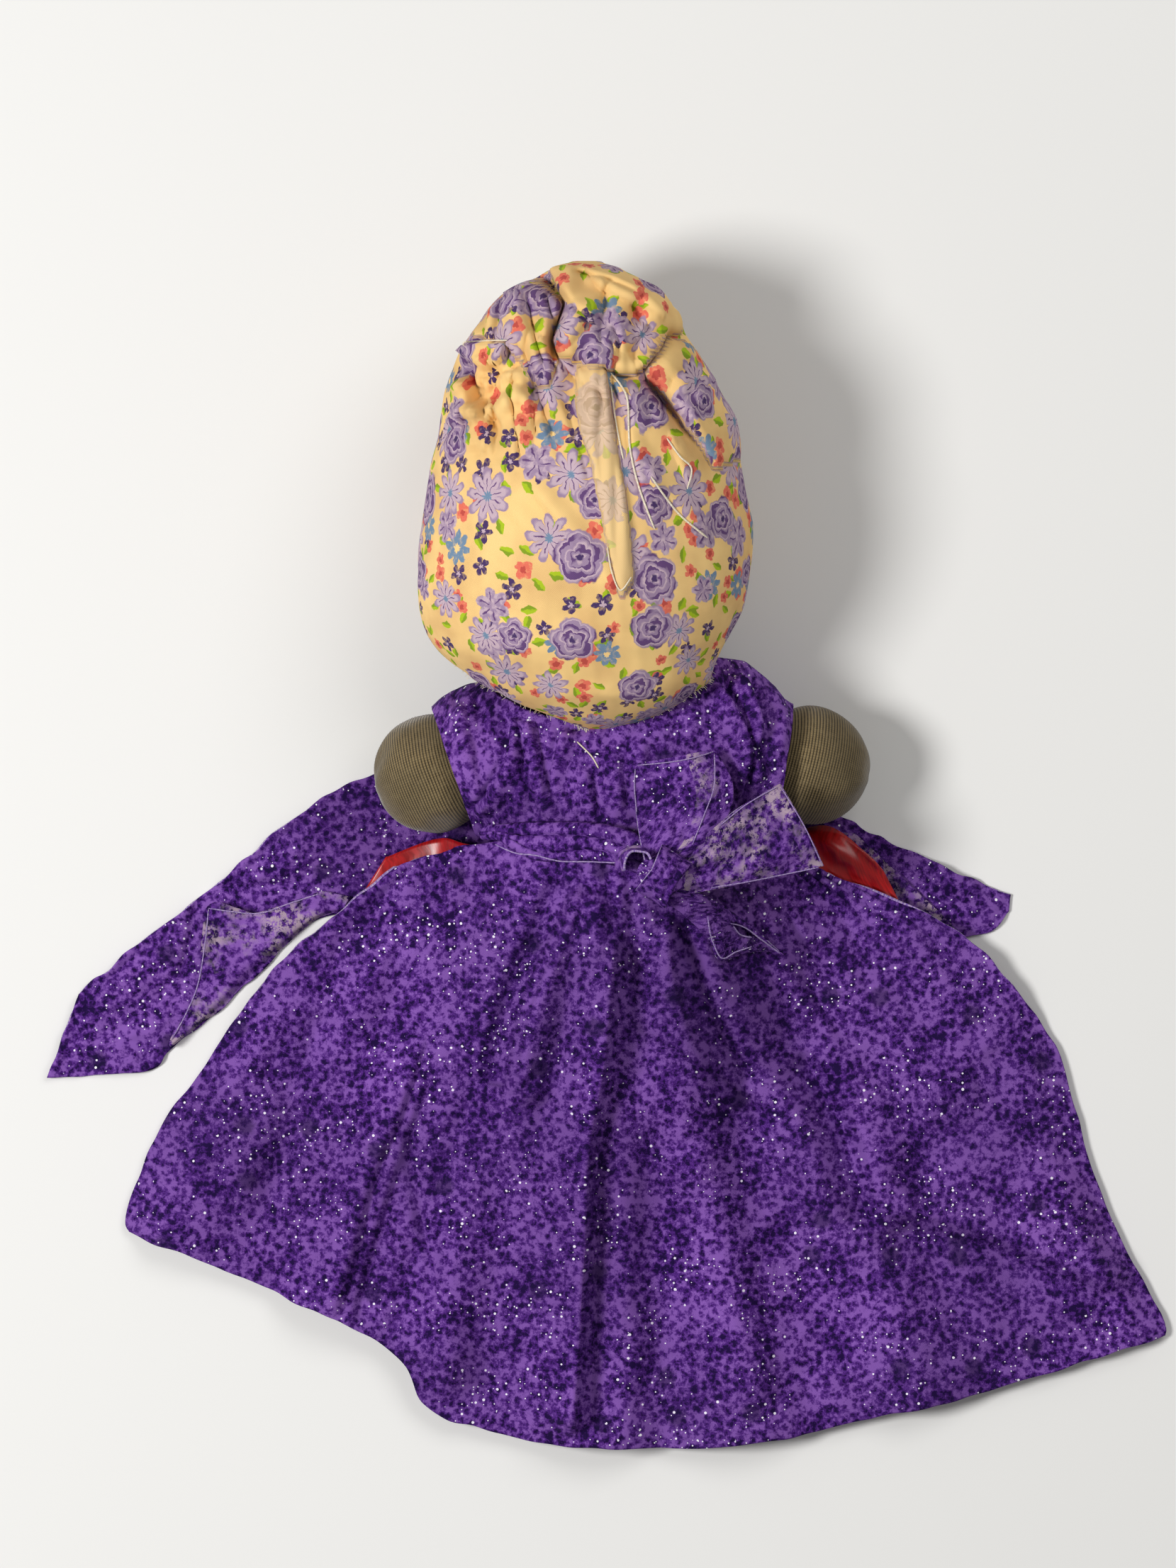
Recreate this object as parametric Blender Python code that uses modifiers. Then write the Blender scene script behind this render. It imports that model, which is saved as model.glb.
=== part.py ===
"""A home-made cloth doll that lies face down: a stuffed stocking body in a headwrap, a dress and a tied sash.

Metres, +Z up. The surface that it lies on is z = 0 and the head points to +Y. The origin is on the
surface, under the waist, on the flat underside of the front sash.
"""
import math

import bmesh
import bpy
import numpy as np
from mathutils import Vector

# Cloth and clearances
CLOTH = 0.0008
KNIT = 0.0010
GAP = 0.0003
SEAM_GAP = 0.0005
FILLING_GAP = 0.0005

# The stuffed head, a ball flattened a little at the face
HEAD_X = -0.010
HEAD_Y = 0.084
HEAD_Z = 0.0425
HEAD_HALF_WIDTH = 0.0470
HEAD_HALF_LENGTH = 0.0460
HEAD_HALF_DEPTH = 0.0430
BROW_Y = 0.102

# The neck, tied with thread
NECK_Y = 0.0385
NECK_RADIUS = 0.0135
NECK_Z = 0.0300
THREAD_RADIUS = 0.0011

# The torso, an oval in section
TORSO_Z = 0.0262
TORSO_HALF_WIDTH = 0.0340
TORSO_HALF_DEPTH = 0.0200
TORSO_END_Y = -0.033

# The stub arms
ARM_RADIUS = 0.0180
ARM_ROOT_RADIUS = 0.0095
LEFT_ARM_ROOT = Vector((-0.0355, 0.0275, 0.0240))
LEFT_ARM_BALL = Vector((-0.0545, 0.0210, 0.0195))
RIGHT_ARM_ROOT = Vector((0.0355, 0.0290, 0.0240))
RIGHT_ARM_BALL = Vector((0.0575, 0.0235, 0.0195))

# The headwrap: half widths along its length, from the nape to the gathered crown
WRAP_WIDTHS = [(0.034, 0.0050), (0.037, 0.0180), (0.044, 0.0310), (0.058, 0.0425), (0.077, 0.0488),
               (0.092, 0.0494), (0.107, 0.0478), (0.125, 0.0435), (0.147, 0.0340), (0.161, 0.0245),
               (0.1695, 0.0120), (0.1725, 0.0015)]
WRAP_DEPTH_SHARE = 0.905
CROWN_DEPTH_SHARE = 0.80
FACE_OPENING_RADIUS = 0.030
FACE_OPENING_Y = 0.074

# The dress top: half width, half depth, middle X and middle Z along the body
BODICE_HEM_Y = -0.0050
BODICE_SNUG = GAP + CLOTH
BODICE_SECTIONS = [(BODICE_HEM_Y, TORSO_HALF_WIDTH + BODICE_SNUG, TORSO_HALF_DEPTH + BODICE_SNUG, 0.0, TORSO_Z),
                   (0.0010, TORSO_HALF_WIDTH + BODICE_SNUG, TORSO_HALF_DEPTH + BODICE_SNUG, 0.0, TORSO_Z),
                   (0.0080, 0.0370, 0.0218, 0.0000, TORSO_Z), (0.0180, 0.0415, 0.0222, 0.0000, 0.0265),
                   (0.0300, 0.0450, 0.0218, 0.0000, 0.0275), (0.0400, 0.0440, 0.0200, 0.0005, 0.0285),
                   (0.0475, 0.0370, 0.0155, 0.0010, 0.0290), (0.0515, 0.0220, 0.0085, 0.0010, 0.0295),
                   (0.0530, 0.0020, 0.0010, 0.0010, 0.0295)]
SLEEVE_RADIUS = 0.0190
SLEEVE_SHORT_OF_BALL = 0.0075

# The skirt, seen from above: its top edge, sides and hem
WAIST_TOP = [(-0.0668, -0.0068), (-0.0530, -0.0025), (-0.0400, 0.0004), (0.0000, 0.0012), (0.0400, 0.0004),
             (0.0540, -0.0050), (0.0680, -0.0108)]
SKIRT_LEFT = [(-0.0668, -0.0068), (-0.1030, -0.0379), (-0.1249, -0.0687), (-0.1364, -0.0843),
              (-0.1468, -0.1100), (-0.1462, -0.1166)]
SKIRT_RIGHT = [(0.0680, -0.0108), (0.1034, -0.0270), (0.1279, -0.0547), (0.1343, -0.0687),
               (0.1472, -0.1100), (0.1634, -0.1410), (0.1647, -0.1474)]
SKIRT_HEM = [(-0.1462, -0.1166), (-0.1094, -0.1313), (-0.0674, -0.1519), (-0.0585, -0.1674),
             (-0.0436, -0.1745), (-0.0140, -0.1804), (0.0313, -0.1806), (0.0698, -0.1738),
             (0.1150, -0.1630), (0.1647, -0.1474)]

# The skirt's folds: where each ridge starts and ends, its width and its height at both ends
SKIRT_RIDGES = [((-0.030, -0.012), (-0.088, -0.146), 0.010, 0.022, 0.0010, 0.0060),
                ((-0.016, -0.012), (-0.050, -0.150), 0.006, 0.020, 0.0030, 0.0075),
                ((-0.004, -0.012), (-0.004, -0.176), 0.007, 0.020, 0.0025, 0.0070),
                ((0.012, -0.022), (0.040, -0.172), 0.007, 0.022, 0.0020, 0.0060),
                ((0.022, -0.020), (0.092, -0.160), 0.006, 0.022, 0.0020, 0.0070),
                ((0.050, -0.018), (0.140, -0.125), 0.008, 0.024, 0.0010, 0.0050),
                ((-0.055, -0.014), (-0.130, -0.110), 0.008, 0.022, 0.0010, 0.0050)]
SIDE_SLOPE_WAIST = 1.7
SIDE_SLOPE_LOW = 0.9
SKIRT_SLOPE_ALONG = 0.45
EDGE_FALL = 0.014
LAYER_LOOSENESS = 0.0015
FALL_ROUNDING = 0.007

# The layers over the torso, as distances of their middle from the stocking
LAYER_STEP = CLOTH + SEAM_GAP
PETTICOAT_OFFSET = BODICE_SNUG + 2 * SEAM_GAP + CLOTH / 2
SKIRT_OFFSET = PETTICOAT_OFFSET + LAYER_STEP + GAP
TIE_OFFSET = SKIRT_OFFSET + LAYER_STEP + SEAM_GAP

# The red underskirt, seen from above
PETTICOAT_TOP = [(-0.0690, -0.0040), (-0.0530, 0.0016), (-0.0400, -0.0005), (0.0000, 0.0005),
                 (0.0400, 0.0005), (0.0500, 0.0020), (0.0640, 0.0050), (0.0790, -0.0070)]
PETTICOAT_LEFT = [(-0.0690, -0.0040), (-0.0930, -0.0420), (-0.1130, -0.0750), (-0.1270, -0.1000)]
PETTICOAT_RIGHT = [(0.0790, -0.0070), (0.0930, -0.0320), (0.1160, -0.0640), (0.1380, -0.1150)]
PETTICOAT_HEM = [(-0.1270, -0.1000), (-0.0600, -0.1330), (0.0100, -0.1600), (0.0800, -0.1500),
                 (0.1380, -0.1150)]

# The front panel's top edge reaches out past the back panel's at the right
FRONT_TOP = [(-0.0668, -0.0068), (-0.0540, -0.0010), (-0.0400, -0.0005), (0.0000, 0.0005),
             (0.0420, 0.0005), (0.0570, 0.0040), (0.0720, 0.0030)]
FRONT_RIGHT = [(0.0720, 0.0030), (0.0880, -0.0120)] + SKIRT_RIGHT[1:]
FRONT_INSET = 0.0008

# The front sash lies flat on the surface: its two long edges, left end first
SASH_UPPER = [(-0.1615, -0.0451), (-0.1460, -0.0320), (-0.1226, -0.0143), (-0.0972, 0.0072),
              (-0.0728, 0.0209), (-0.0400, 0.0240), (0.0000, 0.0220), (0.0500, 0.0150),
              (0.0850, -0.0010), (0.1181, -0.0155)]
SASH_LOWER = [(-0.1704, -0.0702), (-0.1402, -0.0681), (-0.1334, -0.0613), (-0.1177, -0.0485),
              (-0.0932, -0.0251), (-0.0600, -0.0160), (0.0000, -0.0140), (0.0500, -0.0180),
              (0.1032, -0.0281), (0.1179, -0.0204)]
FLAP_FOLD = [(-0.1330, -0.0600), (-0.1170, -0.0470), (-0.0925, -0.0240), (-0.0820, -0.0190)]
FLAP_EDGE = [(-0.1320, -0.0560), (-0.1226, -0.0189), (-0.0894, -0.0147), (-0.0800, -0.0160)]

# The tie round the waist and its bow
TIE_THICKNESS = 0.0010
TIE_HALF_WIDTH_BACK = 0.0056
TIE_HALF_WIDTH_SIDE = 0.0020
TIE_Y_BACK = 0.0009
TIE_Y_SIDE = 0.0036
BOW_CLOTH = 0.0012
KNOT = Vector((0.0130, -0.0094, 0.0604))
KNOT_RADIUS = 0.0066
BOW_LIFT = 0.0014


def clear_scene():
    for thing in list(bpy.data.objects):
        bpy.data.objects.remove(thing, do_unlink=True)


clear_scene()
doll = bpy.data.collections.new("voodoo_doll")
cutters = bpy.data.collections.new("cutters")
bpy.context.scene.collection.children.link(doll)
bpy.context.scene.collection.children.link(cutters)


def material(name, colour, roughness):
    made = bpy.data.materials.new(name)
    made.use_nodes = True
    shader = made.node_tree.nodes["Principled BSDF"]
    shader.inputs["Base Color"].default_value = (*colour, 1)
    shader.inputs["Roughness"].default_value = roughness
    shader.inputs["Metallic"].default_value = 0.0
    return made


KNIT_GREY = material("olive_grey_knit", (0.13, 0.11, 0.07), 0.9)
FILLING = material("white_filling", (0.80, 0.79, 0.75), 1.0)
THREAD = material("white_thread", (0.75, 0.72, 0.66), 0.8)
FLORAL = material("floral_cotton", (0.74, 0.66, 0.48), 0.85)
PURPLE = material("purple_cotton", (0.10, 0.03, 0.24), 0.8)
RED = material("red_satin", (0.50, 0.01, 0.01), 0.35)


def smoothstep(low, high, value):
    share = min(1.0, max(0.0, (value - low) / (high - low)))
    return share * share * (3 - 2 * share)


def through(points, share):
    """A point on the smooth curve through the points, share 0 to 1 along it."""
    stops = np.cumsum([0.0] + [math.dist(a, b) for a, b in zip(points, points[1:])])
    place = share * stops[-1]
    index = min(max(int(np.searchsorted(stops, place, side="right")) - 1, 0), len(points) - 2)
    before = np.array(points[max(index - 1, 0)])
    start = np.array(points[index])
    end = np.array(points[index + 1])
    after = np.array(points[min(index + 2, len(points) - 1)])
    t = (place - stops[index]) / (stops[index + 1] - stops[index])
    slope_in = (end - before) / 2
    slope_out = (after - start) / 2
    curve = (2 * t**3 - 3 * t**2 + 1) * start + (t**3 - 2 * t**2 + t) * slope_in
    return curve + (3 * t**2 - 2 * t**3) * end + (t**3 - t**2) * slope_out


def table(rows, y):
    """The columns of a table of sections at one place along the body."""
    columns = np.array(rows)
    return [float(np.interp(y, columns[:, 0], columns[:, i])) for i in range(1, columns.shape[1])]


def coons(top, bottom, left, right, u, v):
    """A place on the patch between four edge curves: u runs left to right, v top to bottom."""
    across = (1 - v) * through(top, u) + v * through(bottom, u)
    down = (1 - u) * through(left, v) + u * through(right, v)
    corners = (1 - u) * ((1 - v) * np.array(top[0]) + v * np.array(bottom[0]))
    corners = corners + u * ((1 - v) * np.array(top[-1]) + v * np.array(bottom[-1]))
    return across + down - corners


def add(name, mesh, look, where=None):
    made = bpy.data.objects.new(name, mesh)
    (where or doll).objects.link(made)
    if look:
        mesh.materials.append(look)
    mesh.shade_smooth()
    return made


def finish_mesh(name, cage):
    bmesh.ops.recalc_face_normals(cage, faces=cage.faces)
    mesh = bpy.data.meshes.new(name)
    cage.to_mesh(mesh)
    cage.free()
    return mesh


def loft(name, rings, look, start_cap=True, end_cap=True, where=None):
    """A skin over a row of rings, each a list of points in the same order."""
    cage = bmesh.new()
    rows = [[cage.verts.new(point) for point in ring] for ring in rings]
    count = len(rows[0])
    for a, b in zip(rows, rows[1:]):
        for i in range(count):
            cage.faces.new((a[i], a[(i + 1) % count], b[(i + 1) % count], b[i]))
    if start_cap:
        cage.faces.new(rows[0])
    if end_cap:
        cage.faces.new(rows[-1][::-1])
    return add(name, finish_mesh(name, cage), look, where)


def oval(y, half_width, half_depth, x, z, count, floor=-1.0):
    """A ring across the body at one place along it, not lower than the floor."""
    ring = []
    for i in range(count):
        angle = 2 * math.pi * i / count
        height = max(floor, z + half_depth * math.sin(angle))
        ring.append((x + half_width * math.cos(angle), y, height))
    return ring


def solidify(thing, thickness, offset):
    wall = thing.modifiers.new("thickness", "SOLIDIFY")
    wall.thickness = thickness
    wall.offset = offset
    return thing


def sheet(name, place, columns, rows, look, thickness, where=None):
    """A cloth: a grid whose points go where place(u, v) says, given its thickness."""
    cage = bmesh.new()
    bmesh.ops.create_grid(cage, x_segments=columns, y_segments=rows, size=0.5)
    for vertex in cage.verts:
        vertex.co = Vector(place(vertex.co.x + 0.5, 0.5 - vertex.co.y))
    made = add(name, finish_mesh(name, cage), look, where)
    return solidify(made, thickness, 0.0)


def baked(thing):
    """The evaluated shape as a plain mesh in place of the modifiers."""
    graph = bpy.context.evaluated_depsgraph_get()
    mesh = bpy.data.meshes.new_from_object(thing.evaluated_get(graph))
    thing.modifiers.clear()
    thing.data = mesh
    return thing


def boolean(thing, other, operation):
    step = thing.modifiers.new(operation.lower(), "BOOLEAN")
    step.operation = operation
    step.solver = "EXACT"
    step.object = other
    other.hide_render = True
    other.display_type = "WIRE"
    return thing


# The stocking body

def head_share(y):
    return math.sqrt(max(0.0, 1 - ((y - HEAD_Y) / HEAD_HALF_LENGTH) ** 2))


def face_floor(y):
    """The face lies on the surface; the brow lies on the wrap's band."""
    return (CLOTH + 2 * GAP) * smoothstep(BROW_Y - 0.006, BROW_Y, y)


TORSO_SECTIONS = [(TORSO_END_Y, 0.0060, 0.0040, 0.0240), (-0.0310, 0.0150, 0.0090, 0.0245),
                  (-0.0260, 0.0245, 0.0145, 0.0255), (-0.0160, 0.0315, 0.0185, TORSO_Z),
                  (-0.0060, TORSO_HALF_WIDTH, TORSO_HALF_DEPTH, TORSO_Z),
                  (0.0140, TORSO_HALF_WIDTH - 0.0005, TORSO_HALF_DEPTH, TORSO_Z),
                  (0.0250, 0.0310, 0.0185, 0.0270), (0.0320, 0.0230, 0.0160, 0.0285),
                  (0.0365, NECK_RADIUS + 0.0010, NECK_RADIUS, NECK_Z),
                  (0.0405, NECK_RADIUS + 0.0010, NECK_RADIUS, NECK_Z)]
TORSO_STATIONS = [TORSO_END_Y, -0.0310, -0.0260, -0.0160, -0.0060, 0.0050, 0.0140, 0.0250, 0.0320,
                  0.0365, 0.0405]
HEAD_ANGLES = [158, 148, 136, 122, 106, 90, 74, 58, 44, 31, 19, 9]
BODY_SIDES = 20


def torso_ring(y, inset):
    width, depth, height = table(TORSO_SECTIONS, y)
    return oval(y, width - inset, depth - inset, 0.0, height, BODY_SIDES)


def head_ring(angle, inset):
    along = math.cos(math.radians(angle))
    out = math.sin(math.radians(angle))
    y = HEAD_Y + (HEAD_HALF_LENGTH - inset) * along
    blend = smoothstep(140, 165, angle)
    height = (1 - blend) * HEAD_Z + blend * (NECK_Z + 0.002)
    middle = (1 - blend) * HEAD_X + blend * HEAD_X * 0.5
    return oval(y, (HEAD_HALF_WIDTH - inset) * out, (HEAD_HALF_DEPTH - inset) * out, middle, height,
                BODY_SIDES, face_floor(y) + inset)


def sock_rings(inset):
    rings = [torso_ring(y, inset) for y in TORSO_STATIONS]
    return rings + [head_ring(angle, inset) for angle in HEAD_ANGLES]


def make_sock_body():
    """One stocking from the crown to the open toe under the skirt."""
    outer = loft("sock_body", sock_rings(0.0), KNIT_GREY)
    inner_rings = sock_rings(KNIT)
    toe = [(x * 0.9, TORSO_END_Y - 0.004, z) for x, _, z in inner_rings[0]]
    inner = loft("sock_inside", [toe] + inner_rings, None, where=cutters)
    return boolean(outer, inner, "DIFFERENCE")


def make_stuffing():
    inset = KNIT + FILLING_GAP
    head_rings = [head_ring(angle, inset) for angle in HEAD_ANGLES]
    loft("head_stuffing", head_rings, FILLING)
    torso = [torso_ring(y, inset) for y in TORSO_STATIONS[1:-1]]
    loft("torso_stuffing", torso, FILLING)


def make_neck_thread():
    """Two turns of thread, drawn as one ring that sits on the neck."""
    bpy.ops.mesh.primitive_torus_add(major_radius=NECK_RADIUS + GAP + THREAD_RADIUS, major_segments=28,
                                     minor_radius=THREAD_RADIUS, minor_segments=6,
                                     location=(0.0, NECK_Y, NECK_Z), rotation=(math.pi / 2, 0, 0))
    ring = bpy.context.object
    ring.name = "neck_thread"
    ring.data.name = "neck_thread"
    ring.data.materials.append(THREAD)
    ring.scale = ((NECK_RADIUS + 0.0010 + GAP) / (NECK_RADIUS + GAP), 1, 1)
    for holder in list(ring.users_collection):
        holder.objects.unlink(ring)
    doll.objects.link(ring)
    ring.data.shade_smooth()


make_sock_body()
make_stuffing()
make_neck_thread()


# The arms

def arm_rings(root, ball, inset, sides, short=0.0):
    """Rings along one arm, from its root at the shoulder to the tip of the ball."""
    axis = (ball - root).normalized()
    side = axis.cross(Vector((0, 0, 1))).normalized()
    up = side.cross(axis)
    radius = ARM_RADIUS - inset
    first = math.degrees(math.asin((ARM_ROOT_RADIUS - inset) / radius))
    rings = []
    root_points = [0.0 + short]
    for along in root_points:
        rings.append([root + axis * along + (side * math.cos(a) + up * math.sin(a)) * (ARM_ROOT_RADIUS - inset)
                      for a in (2 * math.pi * i / sides for i in range(sides))])
    reach = (ball - root).length
    for step in range(9):
        angle = math.radians(180 - first - (180 - first - 7) * step / 8)
        along = reach + radius * math.cos(angle)
        if along < root_points[-1] + 0.002:
            continue
        out = radius * math.sin(angle)
        rings.append([root + axis * along + (side * math.cos(a) + up * math.sin(a)) * out
                      for a in (2 * math.pi * i / sides for i in range(sides))])
    return rings


def make_arm(side_name, root, ball):
    skin = loft(side_name + "_arm_skin", arm_rings(root, ball, 0.0, 14), KNIT_GREY)
    inside = arm_rings(root, ball, KNIT, 14)
    axis = (ball - root).normalized()
    mouth = [point - axis * 0.004 for point in inside[0]]
    hollow = loft(side_name + "_arm_inside", [mouth] + inside, None, where=cutters)
    boolean(skin, hollow, "DIFFERENCE")
    loft(side_name + "_arm_stuffing", arm_rings(root, ball, KNIT + FILLING_GAP, 14, 0.001), FILLING)


ARMS = {"left": (LEFT_ARM_ROOT, LEFT_ARM_BALL), "right": (RIGHT_ARM_ROOT, RIGHT_ARM_BALL)}
for arm_side, (arm_root, arm_ball) in ARMS.items():
    make_arm(arm_side, arm_root, arm_ball)


# Cloth heights

def ridge_height(ridges, x, y):
    """How far the folds lift a cloth at one place: the sum of its ridges, each a smooth roll."""
    total = 0.0
    for (x0, y0), (x1, y1), width0, width1, height0, height1 in ridges:
        run = (x1 - x0, y1 - y0)
        along = ((x - x0) * run[0] + (y - y0) * run[1]) / (run[0] ** 2 + run[1] ** 2)
        share = min(1.0, max(0.0, along))
        away = math.hypot(x - x0 - run[0] * share, y - y0 - run[1] * share)
        width = width0 + (width1 - width0) * share
        if away < width:
            roll = (1 - (away / width) ** 2) ** 2
            total += roll * (height0 + (height1 - height0) * share)
    return total


TORSO_STOPS = np.linspace(TORSO_END_Y, 0.004, 60)
TORSO_TABLE = np.array([table(TORSO_SECTIONS, y) for y in TORSO_STOPS])


def tent(x, y, offset):
    """The height of a cloth that hangs off the torso, the offset away from the stocking.

    Across the body it follows the oval down to its own steepest slope and then runs straight.
    """
    steepest = SIDE_SLOPE_LOW + (SIDE_SLOPE_WAIST - SIDE_SLOPE_LOW) * smoothstep(-0.030, -0.006, y)
    half_width = TORSO_TABLE[:, 0] + offset
    half_depth = TORSO_TABLE[:, 1] + offset
    diagonal = np.hypot(half_depth, steepest * half_width)
    leaves_at = steepest * half_width ** 2 / diagonal
    leaves_height = half_depth ** 2 / diagonal
    on_oval = half_depth * np.sqrt(np.maximum(0.0, 1 - (x / half_width) ** 2))
    on_slope = leaves_height - steepest * (abs(x) - leaves_at)
    across = TORSO_TABLE[:, 2] + np.where(abs(x) < leaves_at, on_oval, on_slope)
    return float(np.max(across - SKIRT_SLOPE_ALONG * abs(y - TORSO_STOPS)))


def front_height(x, y):
    """The middle of the front panel: on the surface, and over the sash near the waist."""
    over_sash = smoothstep(-0.060, -0.046, y)
    over_flap = 1 - smoothstep(-0.076, -0.062, x)
    return CLOTH / 2 + over_sash * (CLOTH + GAP + 0.0002 * over_sash + 0.0014 * over_flap)


PETTICOAT_FRONT_LIFT = LAYER_STEP
PETTICOAT_BACK_LIFT = PETTICOAT_FRONT_LIFT + 0.0019
SKIRT_LIFT = PETTICOAT_BACK_LIFT + LAYER_STEP + 2 * GAP


def looseness(y):
    """The layers part a little below the waist."""
    return LAYER_LOOSENESS * (1 - smoothstep(-0.026, -0.008, y))


def blended_max(a, b):
    """The higher of the two, rounded where they meet."""
    return (a + b + math.hypot(a - b, FALL_ROUNDING)) / 2


def petticoat_back_height(x, y):
    low = front_height(x, y) + PETTICOAT_BACK_LIFT
    return blended_max(low, tent(x, y, PETTICOAT_OFFSET + looseness(y)))


def skirt_height(x, y):
    low = front_height(x, y) + SKIRT_LIFT
    folds = ridge_height(SKIRT_RIDGES, x, y) * (1 - smoothstep(-0.022, -0.010, y))
    return blended_max(low, tent(x, y, SKIRT_OFFSET + 2 * looseness(y))) + folds


# The skirt, the underskirt and the sash

def skirt_back_place(u, v):
    x, y = coons(WAIST_TOP, SKIRT_HEM, SKIRT_LEFT, SKIRT_RIGHT, u, v)
    left = through(SKIRT_LEFT, v)
    right = through(SKIRT_RIGHT, v)
    edge = min(u, 1 - u) * math.dist(left, right)
    fall = (1 - smoothstep(0.0, EDGE_FALL, edge)) * (1 - smoothstep(-0.055, -0.035, y))
    seam = front_height(x, y) + LAYER_STEP
    return x, y, skirt_height(x, y) * (1 - fall) + seam * fall


def skirt_front_place(u, v):
    x, y = coons(FRONT_TOP, SKIRT_HEM, SKIRT_LEFT, FRONT_RIGHT, u, v)
    return x * (1 - FRONT_INSET / 0.15), y + FRONT_INSET * v, front_height(x, y)


def make_skirt():
    """Two panels joined at the side seams, open at the hem and the waist."""
    sheet("skirt_back", skirt_back_place, 38, 18, PURPLE, CLOTH)
    sheet("skirt_front", skirt_front_place, 16, 12, PURPLE, CLOTH)


MIDDLE_DENSITY = 0.35


def make_petticoat():
    """A flattened tube of red satin between the two panels, open at both ends."""
    rows = 13
    columns = 28
    rings = []
    for row in range(rows):
        v = row / (rows - 1)
        back = []
        front = []
        for column in range(columns):
            u = column / (columns - 1)
            u += MIDDLE_DENSITY * math.sin(2 * math.pi * u) / (2 * math.pi)
            x, y = coons(PETTICOAT_TOP, PETTICOAT_HEM, PETTICOAT_LEFT, PETTICOAT_RIGHT, u, v)
            back.append((x, y, petticoat_back_height(x, y)))
            front.append((x, y, front_height(x, y) + PETTICOAT_FRONT_LIFT))
        rings.append(back + front[::-1])
    tube = loft("petticoat", rings, RED, start_cap=False, end_cap=False)
    solidify(tube, CLOTH, 0.0)


def make_sash():
    """The front sash flat on the surface, with its left end folded back on itself."""
    def flat(u, v):
        x, y = (1 - v) * through(SASH_UPPER, u) + v * through(SASH_LOWER, u)
        return x, y, CLOTH / 2

    def folded(u, v):
        x, y = (1 - v) * through(FLAP_FOLD, u) + v * through(FLAP_EDGE, u)
        return x, y, CLOTH * 0.7 + LAYER_STEP * smoothstep(0.0, 0.25, v)

    sash = sheet("front_sash", flat, 30, 4, PURPLE, CLOTH)
    flap = sheet("sash_flap", folded, 8, 6, None, CLOTH, where=cutters)
    boolean(sash, flap, "UNION")


make_skirt()
make_petticoat()
make_sash()


# The headwrap

WRAP_RIDGES = [((-0.007, 0.138), (0.002, 0.076), 0.009, 0.004, 0.0030, 0.0020),
               ((-0.040, 0.120), (-0.002, 0.078), 0.004, 0.003, 0.0018, 0.0006),
               ((0.018, 0.128), (0.006, 0.086), 0.005, 0.003, 0.0020, 0.0006),
               ((0.030, 0.112), (0.012, 0.088), 0.004, 0.003, 0.0015, 0.0005),
               ((-0.038, 0.143), (-0.022, 0.152), 0.008, 0.010, 0.0040, 0.0030),
               ((-0.020, 0.165), (-0.006, 0.140), 0.008, 0.009, 0.0035, 0.0030),
               ((0.008, 0.162), (0.010, 0.138), 0.008, 0.009, 0.0030, 0.0030),
               ((0.026, 0.140), (0.028, 0.118), 0.009, 0.010, 0.0030, 0.0030)]
WRAP_STATIONS = [0.0345, 0.037, 0.042, 0.050, 0.060, 0.072, 0.084, 0.096, 0.107, 0.116, 0.125, 0.133,
                 0.141, 0.149, 0.156, 0.162, 0.1675, 0.1710, 0.1725]
WRAP_SIDES = 30
NAPE_CUT_TILT = 0.50
NAPE_CUT_Z = 0.0530
NAPE_CUT_Y = 0.0450


def wrap_ring(y):
    width = table(WRAP_WIDTHS, y)[0]
    crown = smoothstep(0.105, 0.150, y)
    depth = width * (WRAP_DEPTH_SHARE * (1 - crown) + CROWN_DEPTH_SHARE * crown)
    ring = []
    for i in range(WRAP_SIDES):
        angle = 2 * math.pi * i / WRAP_SIDES
        back = max(0.0, math.sin(angle)) ** 0.5
        gathers = 0.0012 * crown * math.cos(7 * angle + 60 * y)
        lift = gathers + back * ridge_height(WRAP_RIDGES, HEAD_X + width * math.cos(angle), y)
        height = HEAD_Z + (depth + lift) * math.sin(angle)
        ring.append((HEAD_X + (width + lift) * math.cos(angle), y, max(0.0, height)))
    return ring


def make_headwrap():
    """A cap of floral cloth, gathered over the crown, open at the face and under the nape."""
    wrap = loft("headwrap", [wrap_ring(y) for y in WRAP_STATIONS], FLORAL)
    room = loft("head_room", [head_ring(angle, -GAP) for angle in HEAD_ANGLES], None, where=cutters)
    boolean(wrap, room, "DIFFERENCE")

    bpy.ops.mesh.primitive_cylinder_add(vertices=24, radius=FACE_OPENING_RADIUS, depth=0.034,
                                        location=(HEAD_X, FACE_OPENING_Y, 0.010))
    face = bpy.context.object
    face.name = "face_opening"
    bpy.ops.mesh.primitive_cube_add(size=0.12)
    nape = bpy.context.object
    nape.name = "nape_opening"
    nape.rotation_euler = (math.atan(NAPE_CUT_TILT), 0, 0)
    corner = Vector((0, 0.06, 0.06))
    corner.rotate(nape.rotation_euler)
    nape.location = Vector((HEAD_X, NAPE_CUT_Y, NAPE_CUT_Z)) - corner
    for cutter in (face, nape):
        for holder in list(cutter.users_collection):
            holder.objects.unlink(cutter)
        cutters.objects.link(cutter)
        boolean(wrap, cutter, "DIFFERENCE")


make_headwrap()


# The dress top

BODICE_SIDES = 28
SLEEVE_SIDES = 20
SLEEVE_ROOT_X = 0.028
SLEEVE_ROOT_RISE = 0.0012
SLEEVE_TAPER = 0.0030
SURFACE_CLEARANCE = CLOTH + GAP


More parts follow.
